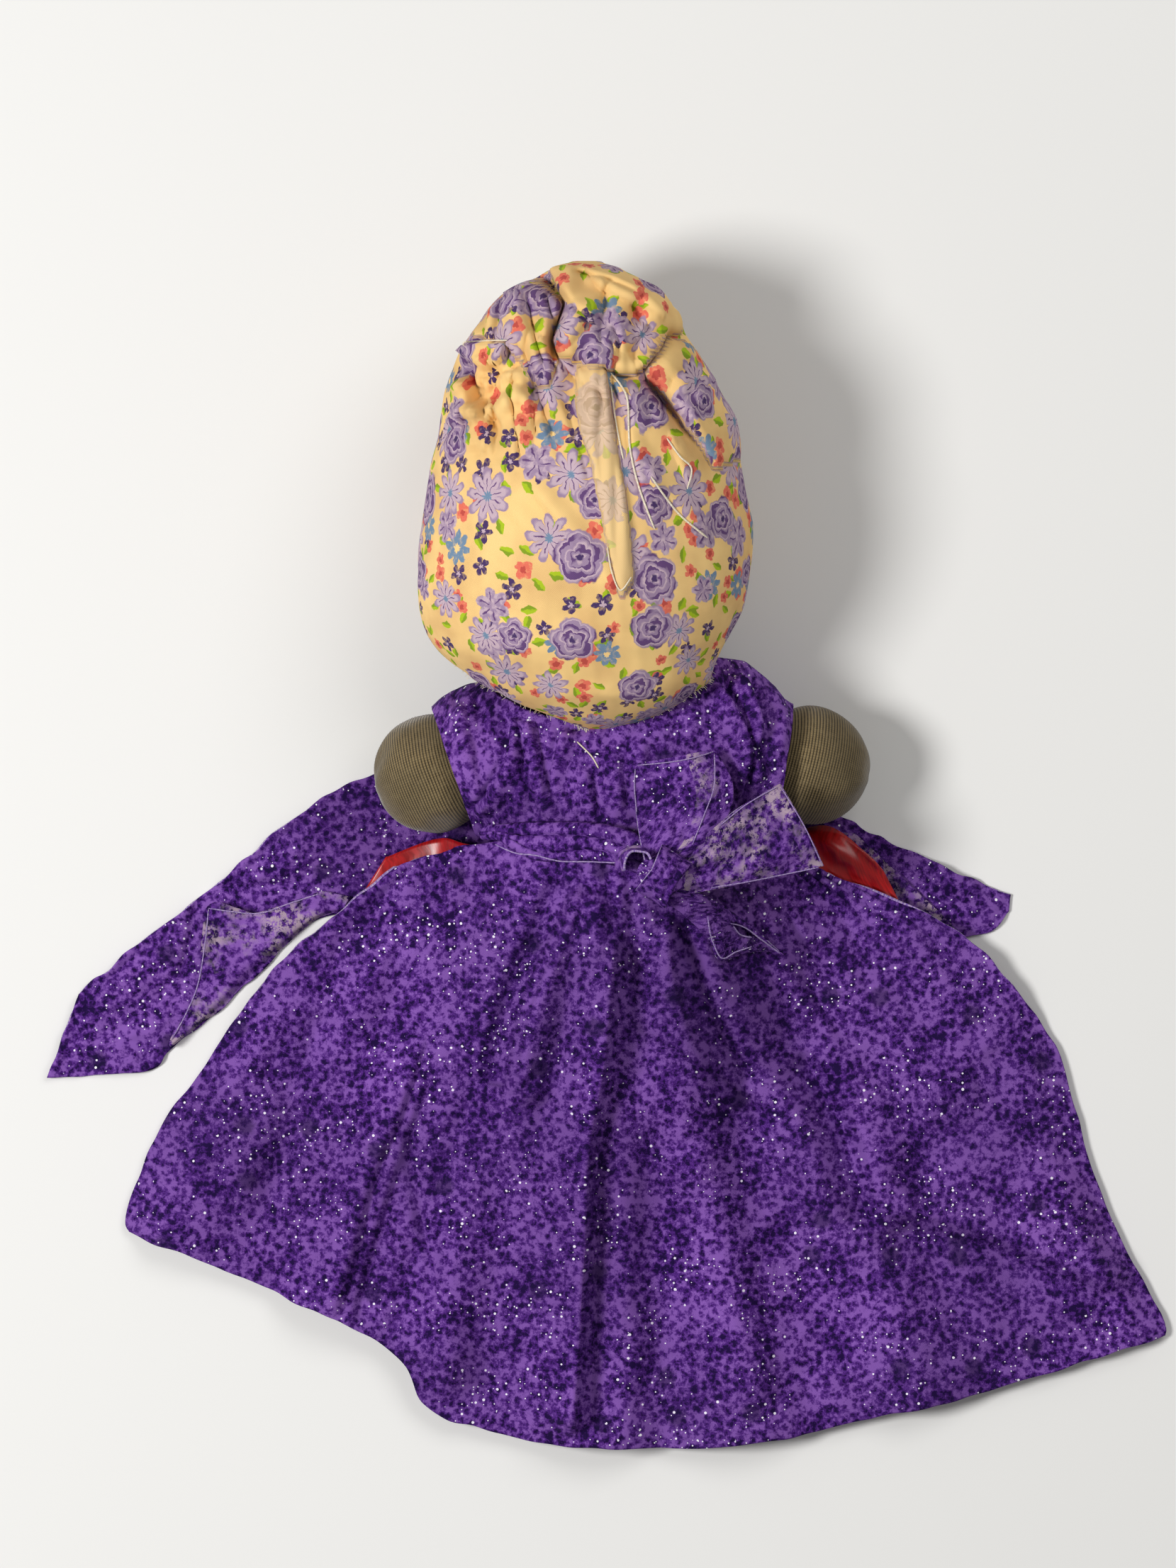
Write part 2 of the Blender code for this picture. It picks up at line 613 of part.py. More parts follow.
def bodice_rings(inset, low_end):
    rings = []
    if low_end is not None:
        width, depth, x, z = table(BODICE_SECTIONS, BODICE_SECTIONS[0][0])
        rings.append(oval(low_end, width - inset, depth - inset, x, z, BODICE_SIDES))
    for y, width, depth, x, z in BODICE_SECTIONS:
        share = max(0.25, 1 - inset / depth)
        rings.append(oval(y - inset * smoothstep(0.045, 0.053, y), width * share if depth < 0.004 else
                          width - inset, depth * share if depth < 0.004 else depth - inset, x, z,
                          BODICE_SIDES))
    return rings


def sleeve_rings(shoulder, ball, inset, extra):
    """Rings of one cap sleeve, from inside the torso to its opening round the ball of the arm."""
    side = math.copysign(1.0, ball.x)
    root = Vector((SLEEVE_ROOT_X * side, shoulder.y + SLEEVE_ROOT_RISE, shoulder.z))
    opening = Vector((ball.x - SLEEVE_SHORT_OF_BALL * side, ball.y, ball.z))
    past = 1 + extra / abs(opening.x - root.x)
    rings = []
    for share in (0.0, 0.35, 0.70, past):
        middle = root.lerp(opening, share)
        radius = SLEEVE_RADIUS - SLEEVE_TAPER * (1 - min(1.0, share)) - inset
        ring = []
        for i in range(SLEEVE_SIDES):
            angle = 2 * math.pi * i / SLEEVE_SIDES
            height = middle.z + radius * math.sin(angle)
            ring.append((middle.x, middle.y + radius * math.cos(angle),
                         max(SURFACE_CLEARANCE + inset, height)))
        rings.append(ring)
    return rings


def make_bodice():
    """One cloth: a tube round the torso with two cap sleeves, open at neck, waist and sleeves."""
    top = loft("bodice", bodice_rings(0.0, None), PURPLE)
    inside = loft("bodice_inside", bodice_rings(CLOTH, -0.012), None, where=cutters)
    for side, (shoulder, ball) in ARMS.items():
        sleeve = loft(side + "_sleeve", sleeve_rings(shoulder, ball, 0.0, 0.0), None, where=cutters)
        boolean(top, sleeve, "UNION")
    boolean(top, inside, "DIFFERENCE")
    for side, (shoulder, ball) in ARMS.items():
        rings = sleeve_rings(shoulder, ball, CLOTH, 0.004)
        hollow = loft(side + "_sleeve_inside", rings, None, where=cutters)
        boolean(top, hollow, "DIFFERENCE")
    rings = [oval(y, table(WRAP_WIDTHS, y)[0] + 0.0010,
                  table(WRAP_WIDTHS, y)[0] * WRAP_DEPTH_SHARE + 0.0010, HEAD_X, HEAD_Z, BODICE_SIDES)
             for y in WRAP_STATIONS[:9]]
    room = loft("wrap_room", rings, None, where=cutters)
    boolean(top, room, "DIFFERENCE")


make_bodice()


# The tie and its bow

def tie_middle(angle):
    """The tie's centre line at one angle round the waist: where it is and half its width there."""
    back = smoothstep(0.45, 0.85, math.sin(angle))
    x = (TORSO_HALF_WIDTH + TIE_OFFSET) * math.cos(angle)
    z = TORSO_Z + (TORSO_HALF_DEPTH + TIE_OFFSET) * math.sin(angle)
    z = max(z, CLOTH + GAP + TIE_THICKNESS / 2)
    to_knot = 0.0049 * back * math.exp(-((x - KNOT.x) / 0.012) ** 2)
    y = TIE_Y_SIDE + (TIE_Y_BACK - TIE_Y_SIDE) * back - to_knot
    return x, y, z, TIE_HALF_WIDTH_SIDE + (TIE_HALF_WIDTH_BACK - TIE_HALF_WIDTH_SIDE) * back


def tie_band():
    count = 44
    rings = []
    for step in range(count):
        angle = 2 * math.pi * step / count
        x, y, z, half = tie_middle(angle)
        out = Vector((math.cos(angle) * 0.62, 0, math.sin(angle))).normalized() * TIE_THICKNESS / 2
        if z < TIE_THICKNESS * 2.5:
            out = Vector((0, 0, -TIE_THICKNESS / 2))
        middle = Vector((x, y, z))
        along = Vector((0, half, 0))
        rings.append([middle - along - out, middle + along - out, middle + along + out,
                      middle - along + out])
    cage = bmesh.new()
    rows = [[cage.verts.new(point) for point in ring] for ring in rings]
    for a, b in zip(rows, rows[1:] + rows[:1]):
        for i in range(4):
            cage.faces.new((a[i], a[(i + 1) % 4], b[(i + 1) % 4], b[i]))
    return add("waist_tie", finish_mesh("waist_tie", cage), PURPLE)


def over_skirt(x, y):
    return skirt_height(x, y) + CLOTH / 2 + BOW_CLOTH / 2 + BOW_LIFT


UPPER_TAIL = [(0.0080, -0.0080), (0.0185, -0.0080), (0.0049, 0.0240), (0.0274, 0.0277)]
UPPER_TAIL_BULGE = 0.0075
RIGHT_TAIL = [(0.0150, -0.0040), (0.0150, -0.0125), (0.0466, 0.0179), (0.0600, -0.0068)]
LOWER_TAIL = [(0.0190, -0.0100), (0.0130, -0.0140), (0.0491, -0.0336), (0.0296, -0.0328)]
LOOP_CENTRE = (0.0050, -0.0070)
LOOP_RADIUS = 0.0042


def corner_patch(corners, u, v):
    near = Vector(corners[0]).lerp(Vector(corners[1]), u)
    far = Vector(corners[2]).lerp(Vector(corners[3]), u)
    return near.lerp(far, v)


def upper_tail(u, v):
    spot = corner_patch(UPPER_TAIL, u, v)
    x = spot.x + UPPER_TAIL_BULGE * u * math.sin(math.pi * v)
    ruffle = 0.0010 * math.sin(2 * math.pi * u) * v
    fall = 0.0042 * smoothstep(0.35, 1.0, v) + 0.0035 * max(0.0, (x - 0.016) / 0.018)
    return x, spot.y, KNOT.z - 0.0042 - fall * smoothstep(0.2, 0.6, v) + ruffle


def right_tail(u, v):
    spot = corner_patch(RIGHT_TAIL, u, v)
    arch = 0.0020 * math.sin(math.pi * u) * (1 - v)
    return spot.x, spot.y, KNOT.z - 0.0036 - 0.0085 * v ** 1.5 + arch


def lower_tail(u, v):
    spot = corner_patch(LOWER_TAIL, u, v)
    rise = 0.0025 * math.sin(math.pi * u) * smoothstep(0.1, 0.6, v)
    low = over_skirt(spot.x, spot.y) + rise
    near = KNOT.z - 0.0040
    share = smoothstep(0.0, 0.45, v)
    return spot.x, spot.y, max(low, near * (1 - share) + low * share)


def side_loop(u, v):
    angle = math.pi * (0.05 + 1.55 * u)
    x = LOOP_CENTRE[0] + LOOP_RADIUS * 1.25 * math.cos(angle)
    z = KNOT.z - 0.0018 + LOOP_RADIUS * 0.72 * math.sin(angle)
    return x, LOOP_CENTRE[1] - 0.0052 + 0.0104 * v, z


def make_tie():
    """One strip of cloth: once round the waist, tied at the back, with its loop and tails."""
    tie = tie_band()
    bpy.ops.mesh.primitive_uv_sphere_add(segments=14, ring_count=9, radius=KNOT_RADIUS,
                                         location=KNOT - Vector((0, 0, 0.0048)))
    knot = bpy.context.object
    knot.name = "knot"
    knot.scale = (1.0, 1.0, 0.80)
    for holder in list(knot.users_collection):
        holder.objects.unlink(knot)
    cutters.objects.link(knot)
    pieces = [knot]
    for name, place, columns, rows in (("upper_tail", upper_tail, 5, 7), ("right_tail", right_tail, 4, 6),
                                       ("lower_tail", lower_tail, 4, 7), ("side_loop", side_loop, 10, 2)):
        pieces.append(sheet(name, place, columns, rows, None, BOW_CLOTH, where=cutters))
    for piece in pieces:
        boolean(tie, piece, "UNION")


make_tie()
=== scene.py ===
import math
from contextlib import contextmanager

import bmesh
import bpy
import numpy as np
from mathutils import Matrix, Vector
from mathutils.kdtree import KDTree


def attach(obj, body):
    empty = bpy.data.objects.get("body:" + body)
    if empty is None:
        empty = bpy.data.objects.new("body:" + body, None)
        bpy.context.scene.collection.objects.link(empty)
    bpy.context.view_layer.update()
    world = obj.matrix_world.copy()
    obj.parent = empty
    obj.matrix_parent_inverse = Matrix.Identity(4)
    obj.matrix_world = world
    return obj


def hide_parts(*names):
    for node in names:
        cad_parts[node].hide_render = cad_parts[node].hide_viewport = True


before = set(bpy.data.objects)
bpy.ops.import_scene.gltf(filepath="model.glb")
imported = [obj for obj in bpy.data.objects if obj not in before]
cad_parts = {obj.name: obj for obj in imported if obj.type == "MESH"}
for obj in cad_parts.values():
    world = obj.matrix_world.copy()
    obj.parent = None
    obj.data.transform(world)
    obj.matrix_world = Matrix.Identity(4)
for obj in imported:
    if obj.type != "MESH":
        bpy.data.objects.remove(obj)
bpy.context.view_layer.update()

# The doll's sizes, in metres, as its solids have them
CLOTH = 0.0008
GAP = 0.0003
SEAM_GAP = 0.0005
HEAD_X, HEAD_Y, HEAD_Z = -0.010, 0.084, 0.0425
HEAD_HALF = (0.0470, 0.0460, 0.0430)
BROW_Y = 0.102
NECK_Y, NECK_RADIUS, NECK_Z = 0.0385, 0.0135, 0.0300
THREAD_RADIUS = 0.0011
TORSO_Z = 0.0262
TORSO_HALF_WIDTH = 0.0340
TORSO_HALF_DEPTH = 0.0200
TORSO_END_Y = -0.033
# Rows of the torso: y, half width, half depth and middle height
TORSO_SECTIONS = [(TORSO_END_Y, 0.0060, 0.0040, 0.0240), (-0.0310, 0.0150, 0.0090, 0.0245),
                  (-0.0260, 0.0245, 0.0145, 0.0255), (-0.0160, 0.0315, 0.0185, TORSO_Z),
                  (-0.0060, TORSO_HALF_WIDTH, TORSO_HALF_DEPTH, TORSO_Z),
                  (0.0140, TORSO_HALF_WIDTH - 0.0005, TORSO_HALF_DEPTH, TORSO_Z),
                  (0.0250, 0.0310, 0.0185, 0.0270), (0.0320, 0.0230, 0.0160, 0.0285),
                  (0.0365, NECK_RADIUS + 0.0010, NECK_RADIUS, NECK_Z),
                  (0.0405, NECK_RADIUS + 0.0010, NECK_RADIUS, NECK_Z)]
ARM_RADIUS = 0.0180
ARM_ROOT_RADIUS = 0.0095
# Each arm's root and the middle of its ball
ARMS = {"left": (Vector((-0.0355, 0.0275, 0.0240)), Vector((-0.0545, 0.0210, 0.0195))),
        "right": (Vector((0.0355, 0.0290, 0.0240)), Vector((0.0575, 0.0235, 0.0195)))}
# Rows of the cap: y and half width
WRAP_WIDTHS = [(0.034, 0.0050), (0.037, 0.0180), (0.044, 0.0310), (0.058, 0.0425), (0.077, 0.0488),
               (0.092, 0.0494), (0.107, 0.0478), (0.125, 0.0435), (0.147, 0.0340), (0.161, 0.0245),
               (0.1695, 0.0120), (0.1725, 0.0015)]
BODICE_SNUG = GAP + CLOTH
# Rows of the dress top: y, half width, half depth, middle x and middle height
BODICE_SECTIONS = [(-0.0050, TORSO_HALF_WIDTH + BODICE_SNUG, TORSO_HALF_DEPTH + BODICE_SNUG, 0.0, TORSO_Z),
                   (0.0010, TORSO_HALF_WIDTH + BODICE_SNUG, TORSO_HALF_DEPTH + BODICE_SNUG, 0.0, TORSO_Z),
                   (0.0080, 0.0370, 0.0218, 0.0000, TORSO_Z), (0.0180, 0.0415, 0.0222, 0.0000, 0.0265),
                   (0.0300, 0.0450, 0.0218, 0.0000, 0.0275), (0.0400, 0.0440, 0.0200, 0.0005, 0.0285),
                   (0.0475, 0.0370, 0.0155, 0.0010, 0.0290), (0.0515, 0.0220, 0.0085, 0.0010, 0.0295),
                   (0.0530, 0.0020, 0.0010, 0.0010, 0.0295)]
# The outlines of the skirt's panels seen from above
WAIST_TOP = [(-0.0668, -0.0068), (-0.0530, -0.0025), (-0.0400, 0.0004), (0.0000, 0.0012), (0.0400, 0.0004),
             (0.0540, -0.0050), (0.0680, -0.0108)]
SKIRT_LEFT = [(-0.0668, -0.0068), (-0.1030, -0.0379), (-0.1249, -0.0687), (-0.1364, -0.0843),
              (-0.1468, -0.1100), (-0.1462, -0.1166)]
SKIRT_RIGHT = [(0.0680, -0.0108), (0.1034, -0.0270), (0.1279, -0.0547), (0.1343, -0.0687),
               (0.1472, -0.1100), (0.1634, -0.1410), (0.1647, -0.1474)]
SKIRT_HEM = [(-0.1462, -0.1166), (-0.1094, -0.1313), (-0.0674, -0.1519), (-0.0585, -0.1674),
             (-0.0436, -0.1745), (-0.0140, -0.1804), (0.0313, -0.1806), (0.0698, -0.1738),
             (0.1150, -0.1630), (0.1647, -0.1474)]
# The solid skirt's ridges: both ends, the two half widths and the two heights
SKIRT_RIDGES = [((-0.030, -0.012), (-0.088, -0.146), 0.010, 0.022, 0.0010, 0.0060),
                ((-0.016, -0.012), (-0.050, -0.150), 0.006, 0.020, 0.0030, 0.0075),
                ((-0.004, -0.012), (-0.004, -0.176), 0.007, 0.020, 0.0025, 0.0070),
                ((0.012, -0.022), (0.040, -0.172), 0.007, 0.022, 0.0020, 0.0060),
                ((0.022, -0.020), (0.092, -0.160), 0.006, 0.022, 0.0020, 0.0070),
                ((0.050, -0.018), (0.140, -0.125), 0.008, 0.024, 0.0010, 0.0050),
                ((-0.055, -0.014), (-0.130, -0.110), 0.008, 0.022, 0.0010, 0.0050)]
LAYER_STEP = CLOTH + SEAM_GAP
PETTICOAT_OFFSET = BODICE_SNUG + 2 * SEAM_GAP + CLOTH / 2
SKIRT_OFFSET = PETTICOAT_OFFSET + LAYER_STEP + GAP
TIE_OFFSET = SKIRT_OFFSET + LAYER_STEP + SEAM_GAP
PETTICOAT_LIFT = LAYER_STEP + 0.0019
SKIRT_LIFT = PETTICOAT_LIFT + LAYER_STEP + 2 * GAP
PETTICOAT_TOP = [(-0.0690, -0.0040), (-0.0530, 0.0016), (-0.0400, -0.0005), (0.0000, 0.0005),
                 (0.0400, 0.0005), (0.0500, 0.0020), (0.0640, 0.0050), (0.0790, -0.0070)]
PETTICOAT_LEFT = [(-0.0690, -0.0040), (-0.0930, -0.0420), (-0.1130, -0.0750), (-0.1270, -0.1000)]
PETTICOAT_RIGHT = [(0.0790, -0.0070), (0.0930, -0.0320), (0.1160, -0.0640), (0.1380, -0.1150)]
PETTICOAT_HEM = [(-0.1270, -0.1000), (-0.0600, -0.1330), (0.0100, -0.1600), (0.0800, -0.1500),
                 (0.1380, -0.1150)]
FRONT_TOP = [(-0.0668, -0.0068), (-0.0540, -0.0010), (-0.0400, -0.0005), (0.0000, 0.0005),
             (0.0420, 0.0005), (0.0570, 0.0040), (0.0720, 0.0030)]
FRONT_RIGHT = [(0.0720, 0.0030), (0.0880, -0.0120)] + SKIRT_RIGHT[1:]
FRONT_INSET = 0.0008
# The sash's two long edges, and the two long edges of its folded end
SASH_UPPER = [(-0.1615, -0.0451), (-0.1460, -0.0320), (-0.1226, -0.0143), (-0.0972, 0.0072),
              (-0.0728, 0.0209), (-0.0400, 0.0240), (0.0000, 0.0220), (0.0500, 0.0150),
              (0.0850, -0.0010), (0.1181, -0.0155)]
SASH_LOWER = [(-0.1704, -0.0702), (-0.1402, -0.0681), (-0.1334, -0.0613), (-0.1177, -0.0485),
              (-0.0932, -0.0251), (-0.0600, -0.0160), (0.0000, -0.0140), (0.0500, -0.0180),
              (0.1032, -0.0281), (0.1179, -0.0204)]
FLAP_FOLD = [(-0.1340, -0.0610), (-0.1170, -0.0478), (-0.0925, -0.0245), (-0.0820, -0.0200)]
FLAP_EDGE = [(-0.1335, -0.0590), (-0.1255, -0.0425), (-0.1226, -0.0189), (-0.1070, -0.0206),
             (-0.0894, -0.0147), (-0.0800, -0.0160)]
KNOT = Vector((0.0130, -0.0094, 0.0604))
KNOT_RADIUS = 0.0066

# The photograph's scale and size in pixels, and the pixel that lies at the doll's origin
PIXELS_PER_METRE = 4700.0
PHOTO_SIZE = (1659.0, 2212.0)
ORIGIN_PIXEL = (870.0, 1190.0)


def photo(pixels):
    """Places on the doll, seen from above, from pixels of the photograph."""
    return (np.array(pixels, float) - ORIGIN_PIXEL) / (PIXELS_PER_METRE, -PIXELS_PER_METRE)


# Curves and patches

def smooth(low, high, value):
    """A rounded step: 0 at low and before it, 1 at high and after it."""
    share = np.clip((value - low) / (high - low), 0.0, 1.0)
    return share * share * (3 - 2 * share)


def through(points, share):
    """Places on the smooth curve through the points, share 0 to 1 along it."""
    points = np.asarray(points, float)
    steps = np.linalg.norm(np.diff(points, axis=0), axis=1)
    stops = np.concatenate([[0.0], np.cumsum(steps)])
    place = np.asarray(share, float) * stops[-1]
    index = np.clip(np.searchsorted(stops, place, side="right") - 1, 0, len(points) - 2)
    t = ((place - stops[index]) / steps[index])[..., None]
    start = points[index]
    end = points[index + 1]
    slope_in = (end - points[np.maximum(index - 1, 0)]) / 2
    slope_out = (points[np.minimum(index + 2, len(points) - 1)] - start) / 2
    curve = (2 * t**3 - 3 * t**2 + 1) * start + (t**3 - 2 * t**2 + t) * slope_in
    return curve + (3 * t**2 - 2 * t**3) * end + (t**3 - t**2) * slope_out


def between_lines(first, second, u, v):
    """Places between two curves: u runs along both, v goes from the first to the second."""
    return (1 - v[..., None]) * through(first, u) + v[..., None] * through(second, u)


def coons(top, bottom, left, right, u, v):
    """Places on the patch between four edge curves: u runs left to right, v top to bottom."""
    first = (1 - v[..., None]) * np.array(top[0]) + v[..., None] * np.array(bottom[0])
    last = (1 - v[..., None]) * np.array(top[-1]) + v[..., None] * np.array(bottom[-1])
    edges = between_lines(top, bottom, u, v) + between_lines(left, right, v, u)
    return edges - (1 - u[..., None]) * first - u[..., None] * last


def squares(columns, rows):
    """The u and v of a grid of places, v by row and u by column."""
    return np.meshgrid(np.linspace(0, 1, columns), np.linspace(0, 1, rows))


def turns(count):
    """Angles round a ring, in radians."""
    return np.linspace(0, 2 * math.pi, count, endpoint=False)


def closed(grid):
    """A round grid with its first column once more after its last."""
    return np.concatenate([grid, grid[:, :1]], axis=1)


def column(rows, y, place):
    """One column of a table whose first column is y, read between its rows."""
    table = np.array(rows)
    return np.interp(y, table[:, 0], table[:, place])


# Relief: folds, steps, raised patches and wrinkles on a cloth

def from_line(points, x, y):
    """How far each place is from a line, on which side, and where along it.

    The side is positive on the left hand of someone who walks along the line.
    """
    nearest = np.full(x.shape, 1e9)
    side = np.ones(x.shape)
    along = np.zeros(x.shape)
    lengths = np.linalg.norm(np.diff(points, axis=0), axis=1)
    done = 0.0
    for (ax, ay), (bx, by), length in zip(points, points[1:], lengths):
        run_x, run_y = (bx - ax) / length, (by - ay) / length
        t = np.clip((x - ax) * run_x + (y - ay) * run_y, 0, length)
        away = np.hypot(x - ax - run_x * t, y - ay - run_y * t)
        closer = away < nearest
        nearest = np.where(closer, away, nearest)
        side = np.where(closer, np.sign(run_x * (y - ay) - run_y * (x - ax)), side)
        along = np.where(closer, (done + t) / lengths.sum(), along)
        done += length
    return nearest, side, along


def fold(x, y, pixels, start, end, right_hand, left_hand, fade=0.12):
    """The lift of one fold along a line in the photograph, in mm at its start and its end.

    On a line that goes down the photograph the right hand is the photograph's left.
    """
    points = photo(pixels)
    away, side, along = from_line(through(points, np.linspace(0, 1, 10 * len(points))), x, y)
    width = np.where(side > 0, left_hand, right_hand) / 1000
    roll = np.clip(1 - (away / width) ** 2, 0, 1) ** 2
    ends = smooth(0, fade, along) * smooth(0, fade, 1 - along)
    return roll * ends * (start + (end - start) * along) / 1000


def folds(x, y, lines):
    """The lift of several folds together."""
    return sum(fold(x, y, *line) for line in lines)


def inside(polygon, x, y):
    """Which places lie inside an outline."""
    found = np.zeros(x.shape, bool)
    for (ax, ay), (bx, by) in zip(polygon, np.roll(polygon, -1, axis=0)):
        crosses = (ay > y) != (by > y)
        if ay != by:
            found ^= crosses & (x < (bx - ax) * (y - ay) / (by - ay) + ax)
    return found


def depth_inside(x, y, pixels, edge):
    """How far inside an outline each place is, from 0 to 1 at the edge's width in mm."""
    polygon = photo(pixels)
    away, _, _ = from_line(np.vstack([polygon, polygon[:1]]), x, y)
    return np.where(inside(polygon, x, y), np.clip(away / (edge / 1000), 0, 1), 0.0)


def patch(x, y, pixels, edge):
    """A raised area of the cloth with a soft edge: 1 in the middle, 0 outside."""
    return smooth(0, 1, depth_inside(x, y, pixels, edge))


def puff(x, y, pixels, edge):
    """A padded area of the cloth with a round edge: 1 in the middle, 0 outside."""
    return np.sqrt(1 - (1 - depth_inside(x, y, pixels, edge)) ** 2)


def ripple(x, y, seed, wavelength, count=9):
    """Uneven waves about as long as the wavelength in mm, mostly between -1 and 1."""
    chance = np.random.default_rng(seed)
    total = np.zeros(np.shape(x))
    for _ in range(count):
        angle = chance.uniform(0, 2 * math.pi)
        size = wavelength / 1000 * chance.uniform(0.7, 1.6)
        phase = chance.uniform(0, 2 * math.pi)
        total = total + np.sin(2 * math.pi * (x * math.cos(angle) + y * math.sin(angle)) / size + phase)
    return total / math.sqrt(count)


def creases(x, y, seed, wavelength, sharpness=5.0):
    """Thin pinched lines, 1 on the line and 0 away from it."""
    return np.exp(-(ripple(x, y, seed, wavelength) * sharpness) ** 2)


# Materials

def srgb(red, green, blue):
    """A colour as the renderer takes it, from the shares of 255 that a screen shows."""
    shares = (red / 255, green / 255, blue / 255)
    return tuple(s / 12.92 if s <= 0.04045 else ((s + 0.055) / 1.055) ** 2.4 for s in shares)


def operation(kind, swapped=False):
    """The way a value takes part in one kind of arithmetic."""
    def work(value, other=0.0):
        return value.look.math(kind, *((other, value) if swapped else (value, other)))
    return work


class Value:
    """A number that a material works out at each place; arithmetic on it makes the nodes for it."""

    def __init__(self, look, socket):
        self.look = look
        self.socket = socket

    __add__ = operation("ADD")
    __sub__ = operation("SUBTRACT")
    __rsub__ = operation("SUBTRACT", swapped=True)
    __mul__ = operation("MULTIPLY")
    __truediv__ = operation("DIVIDE")
    __pow__ = operation("POWER")
    __lt__ = operation("LESS_THAN")
    __abs__ = operation("ABSOLUTE")
    sine = operation("SINE")
    cosine = operation("COSINE")
    floor = operation("FLOOR")
    fraction = operation("FRACT")
    largest = operation("MAXIMUM")

    def between(self, low, high):
        """0 at low and beyond it, 1 at high and beyond it."""
        return self.look.node("ShaderNodeMapRange", {0: self, 1: low, 2: high}, clamp=True)


class Look:
    """A node-based material, painted on in layers, with short names for the nodes it is built from."""

    def __init__(self, name, colour):
        self.material = bpy.data.materials.new(name)
        self.material.use_nodes = True
        self.tree = self.material.node_tree
        self.cloth = self.node("ShaderNodeTexCoord", out="UV")
        self.drawn = self.cloth
        self.colour = colour

    def feed(self, socket, value):
        if isinstance(value, Value):
            self.tree.links.new(value.socket, socket)
        elif isinstance(value, tuple) and socket.type == "RGBA":
            socket.default_value = (*value, 1.0)
        else:
            socket.default_value = value

    def node(self, kind, inputs=(), out=0, **settings):
        """Adds a node, feeds its inputs and gives back one of its outputs."""
        made = self.tree.nodes.new(kind)
        for name, value in settings.items():
            setattr(made, name, value)
        for place, value in dict(inputs).items():
            self.feed(made.inputs[place], value)
        return Value(self, made.outputs[out])

    def math(self, kind, a, b=0.0):
        return self.node("ShaderNodeMath", {0: a, 1: b}, operation=kind)

    def vector(self, kind, a, b=(0.0, 0.0, 0.0), out="Vector"):
        return self.node("ShaderNodeVectorMath", {0: a, 1: b}, out, operation=kind)

    def split(self, value):
        parts = self.node("ShaderNodeSeparateXYZ", {0: value}).socket.node.outputs
        return [Value(self, part) for part in parts]

    def mix(self, share, a, b):
        return self.node("ShaderNodeMix", {0: share, 6: a, 7: b}, 2, data_type="RGBA")

    def paint(self, share, colour):
        self.colour = self.mix(share, self.colour, colour)

    def noise(self, scale, detail=4.0, roughness=0.55, shift=0.0):
        where = self.vector("ADD", self.cloth, (shift, shift * 0.7, 0.0))
        inputs = {"Vector": where, "Scale": scale, "Detail": detail, "Roughness": roughness}
        return self.node("ShaderNodeTexNoise", inputs, "Fac", noise_dimensions="2D")

    def cells(self, scale, shift, randomness=1.0):
        """Cells of cloth: the place in the cell, how far out it is, and the cell's three chances."""
        where = self.vector("ADD", self.drawn, (shift, shift * 1.7, 0.0))
        inputs = {"Vector": where, "Scale": scale, "Randomness": randomness}
        middle = self.node("ShaderNodeTexVoronoi", inputs, "Position", voronoi_dimensions="2D")
        local = self.vector("SUBTRACT", where, middle)
        chances = Value(self, middle.socket.node.outputs["Color"])
        return self.split(local), self.vector("LENGTH", local, out="Value"), self.split(chances)

    def unsteady(self, scale, reach):
        """From here on, cells are drawn with an unsteady hand: their outlines waver by up to the reach."""
        inputs = {"Vector": self.cloth, "Scale": scale, "Detail": 2.0}
        stray = self.node("ShaderNodeTexNoise", inputs, "Color", noise_dimensions="2D")
        stray = self.vector("SUBTRACT", stray, (0.5, 0.5, 0.5))
        self.drawn = self.vector("ADD", self.cloth, self.vector("MULTIPLY", stray, (reach, reach, 0.0)))

    def weave(self, pitch, diagonal=False):
        """The threads' height, 0 to 1."""
        x, y, _ = self.split(self.cloth)
        turn = 2 * math.pi / pitch
        wave = ((x + y * 1.3) * turn).sine() if diagonal else (x * turn).sine() * (y * turn).sine()
        return wave * 0.5 + 0.5

    def finish(self, height, depth, roughness, gleam=0.25, sheen=0.0, strength=0.5):
        bump = self.node("ShaderNodeBump", {"Height": height, "Distance": depth, "Strength": strength},
                         "Normal")
        for name, value in (("Base Color", self.colour), ("Roughness", roughness), ("Normal", bump),
                            ("Specular IOR Level", gleam), ("Sheen Weight", sheen), ("Sheen Roughness", 0.4)):
            self.feed(self.tree.nodes["Principled BSDF"].inputs[name], value)
        return self.material


CREAM = srgb(242, 203, 134)
CREAM_SHADE = srgb(222, 180, 118)
LILAC = srgb(154, 130, 158)
LILAC_PALE = srgb(192, 168, 180)
LILAC_DEEP = srgb(96, 66, 116)
VIOLET_DARK = srgb(66, 46, 96)
DUSTY_BLUE = srgb(108, 134, 160)
CORAL = srgb(222, 108, 88)
CORAL_DEEP = srgb(186, 74, 66)
CREAM_WRONG = srgb(230, 198, 142)
THREAD_SHADE = srgb(140, 120, 96)
LEAF = srgb(164, 188, 30)
LEAF_DEEP = srgb(110, 138, 32)
LEAF_HALF_LENGTH = 0.0027
LEAF_HALF_WIDTH = 0.00145
FULL_TURN = 6.28


def flower(look, scale, shift, radius, petals, notch, chosen, point=0.7):
    """One kind of flower on the print: where it is, the share of the way out to its outline, and the turn."""
    (x, y, _), out, chance = look.cells(scale, shift, 0.62)
    turn = look.math("ARCTAN2", y, x) + chance[1] * FULL_TURN
    lobes = abs((turn * (petals / 2)).cosine()) ** point
    share = out / ((lobes * notch + (1 - notch)) * (chance[2] * (0.35 * radius) + 0.78 * radius))
    return share.between(1.0, 0.93) * (chance[0] < chosen), share, turn


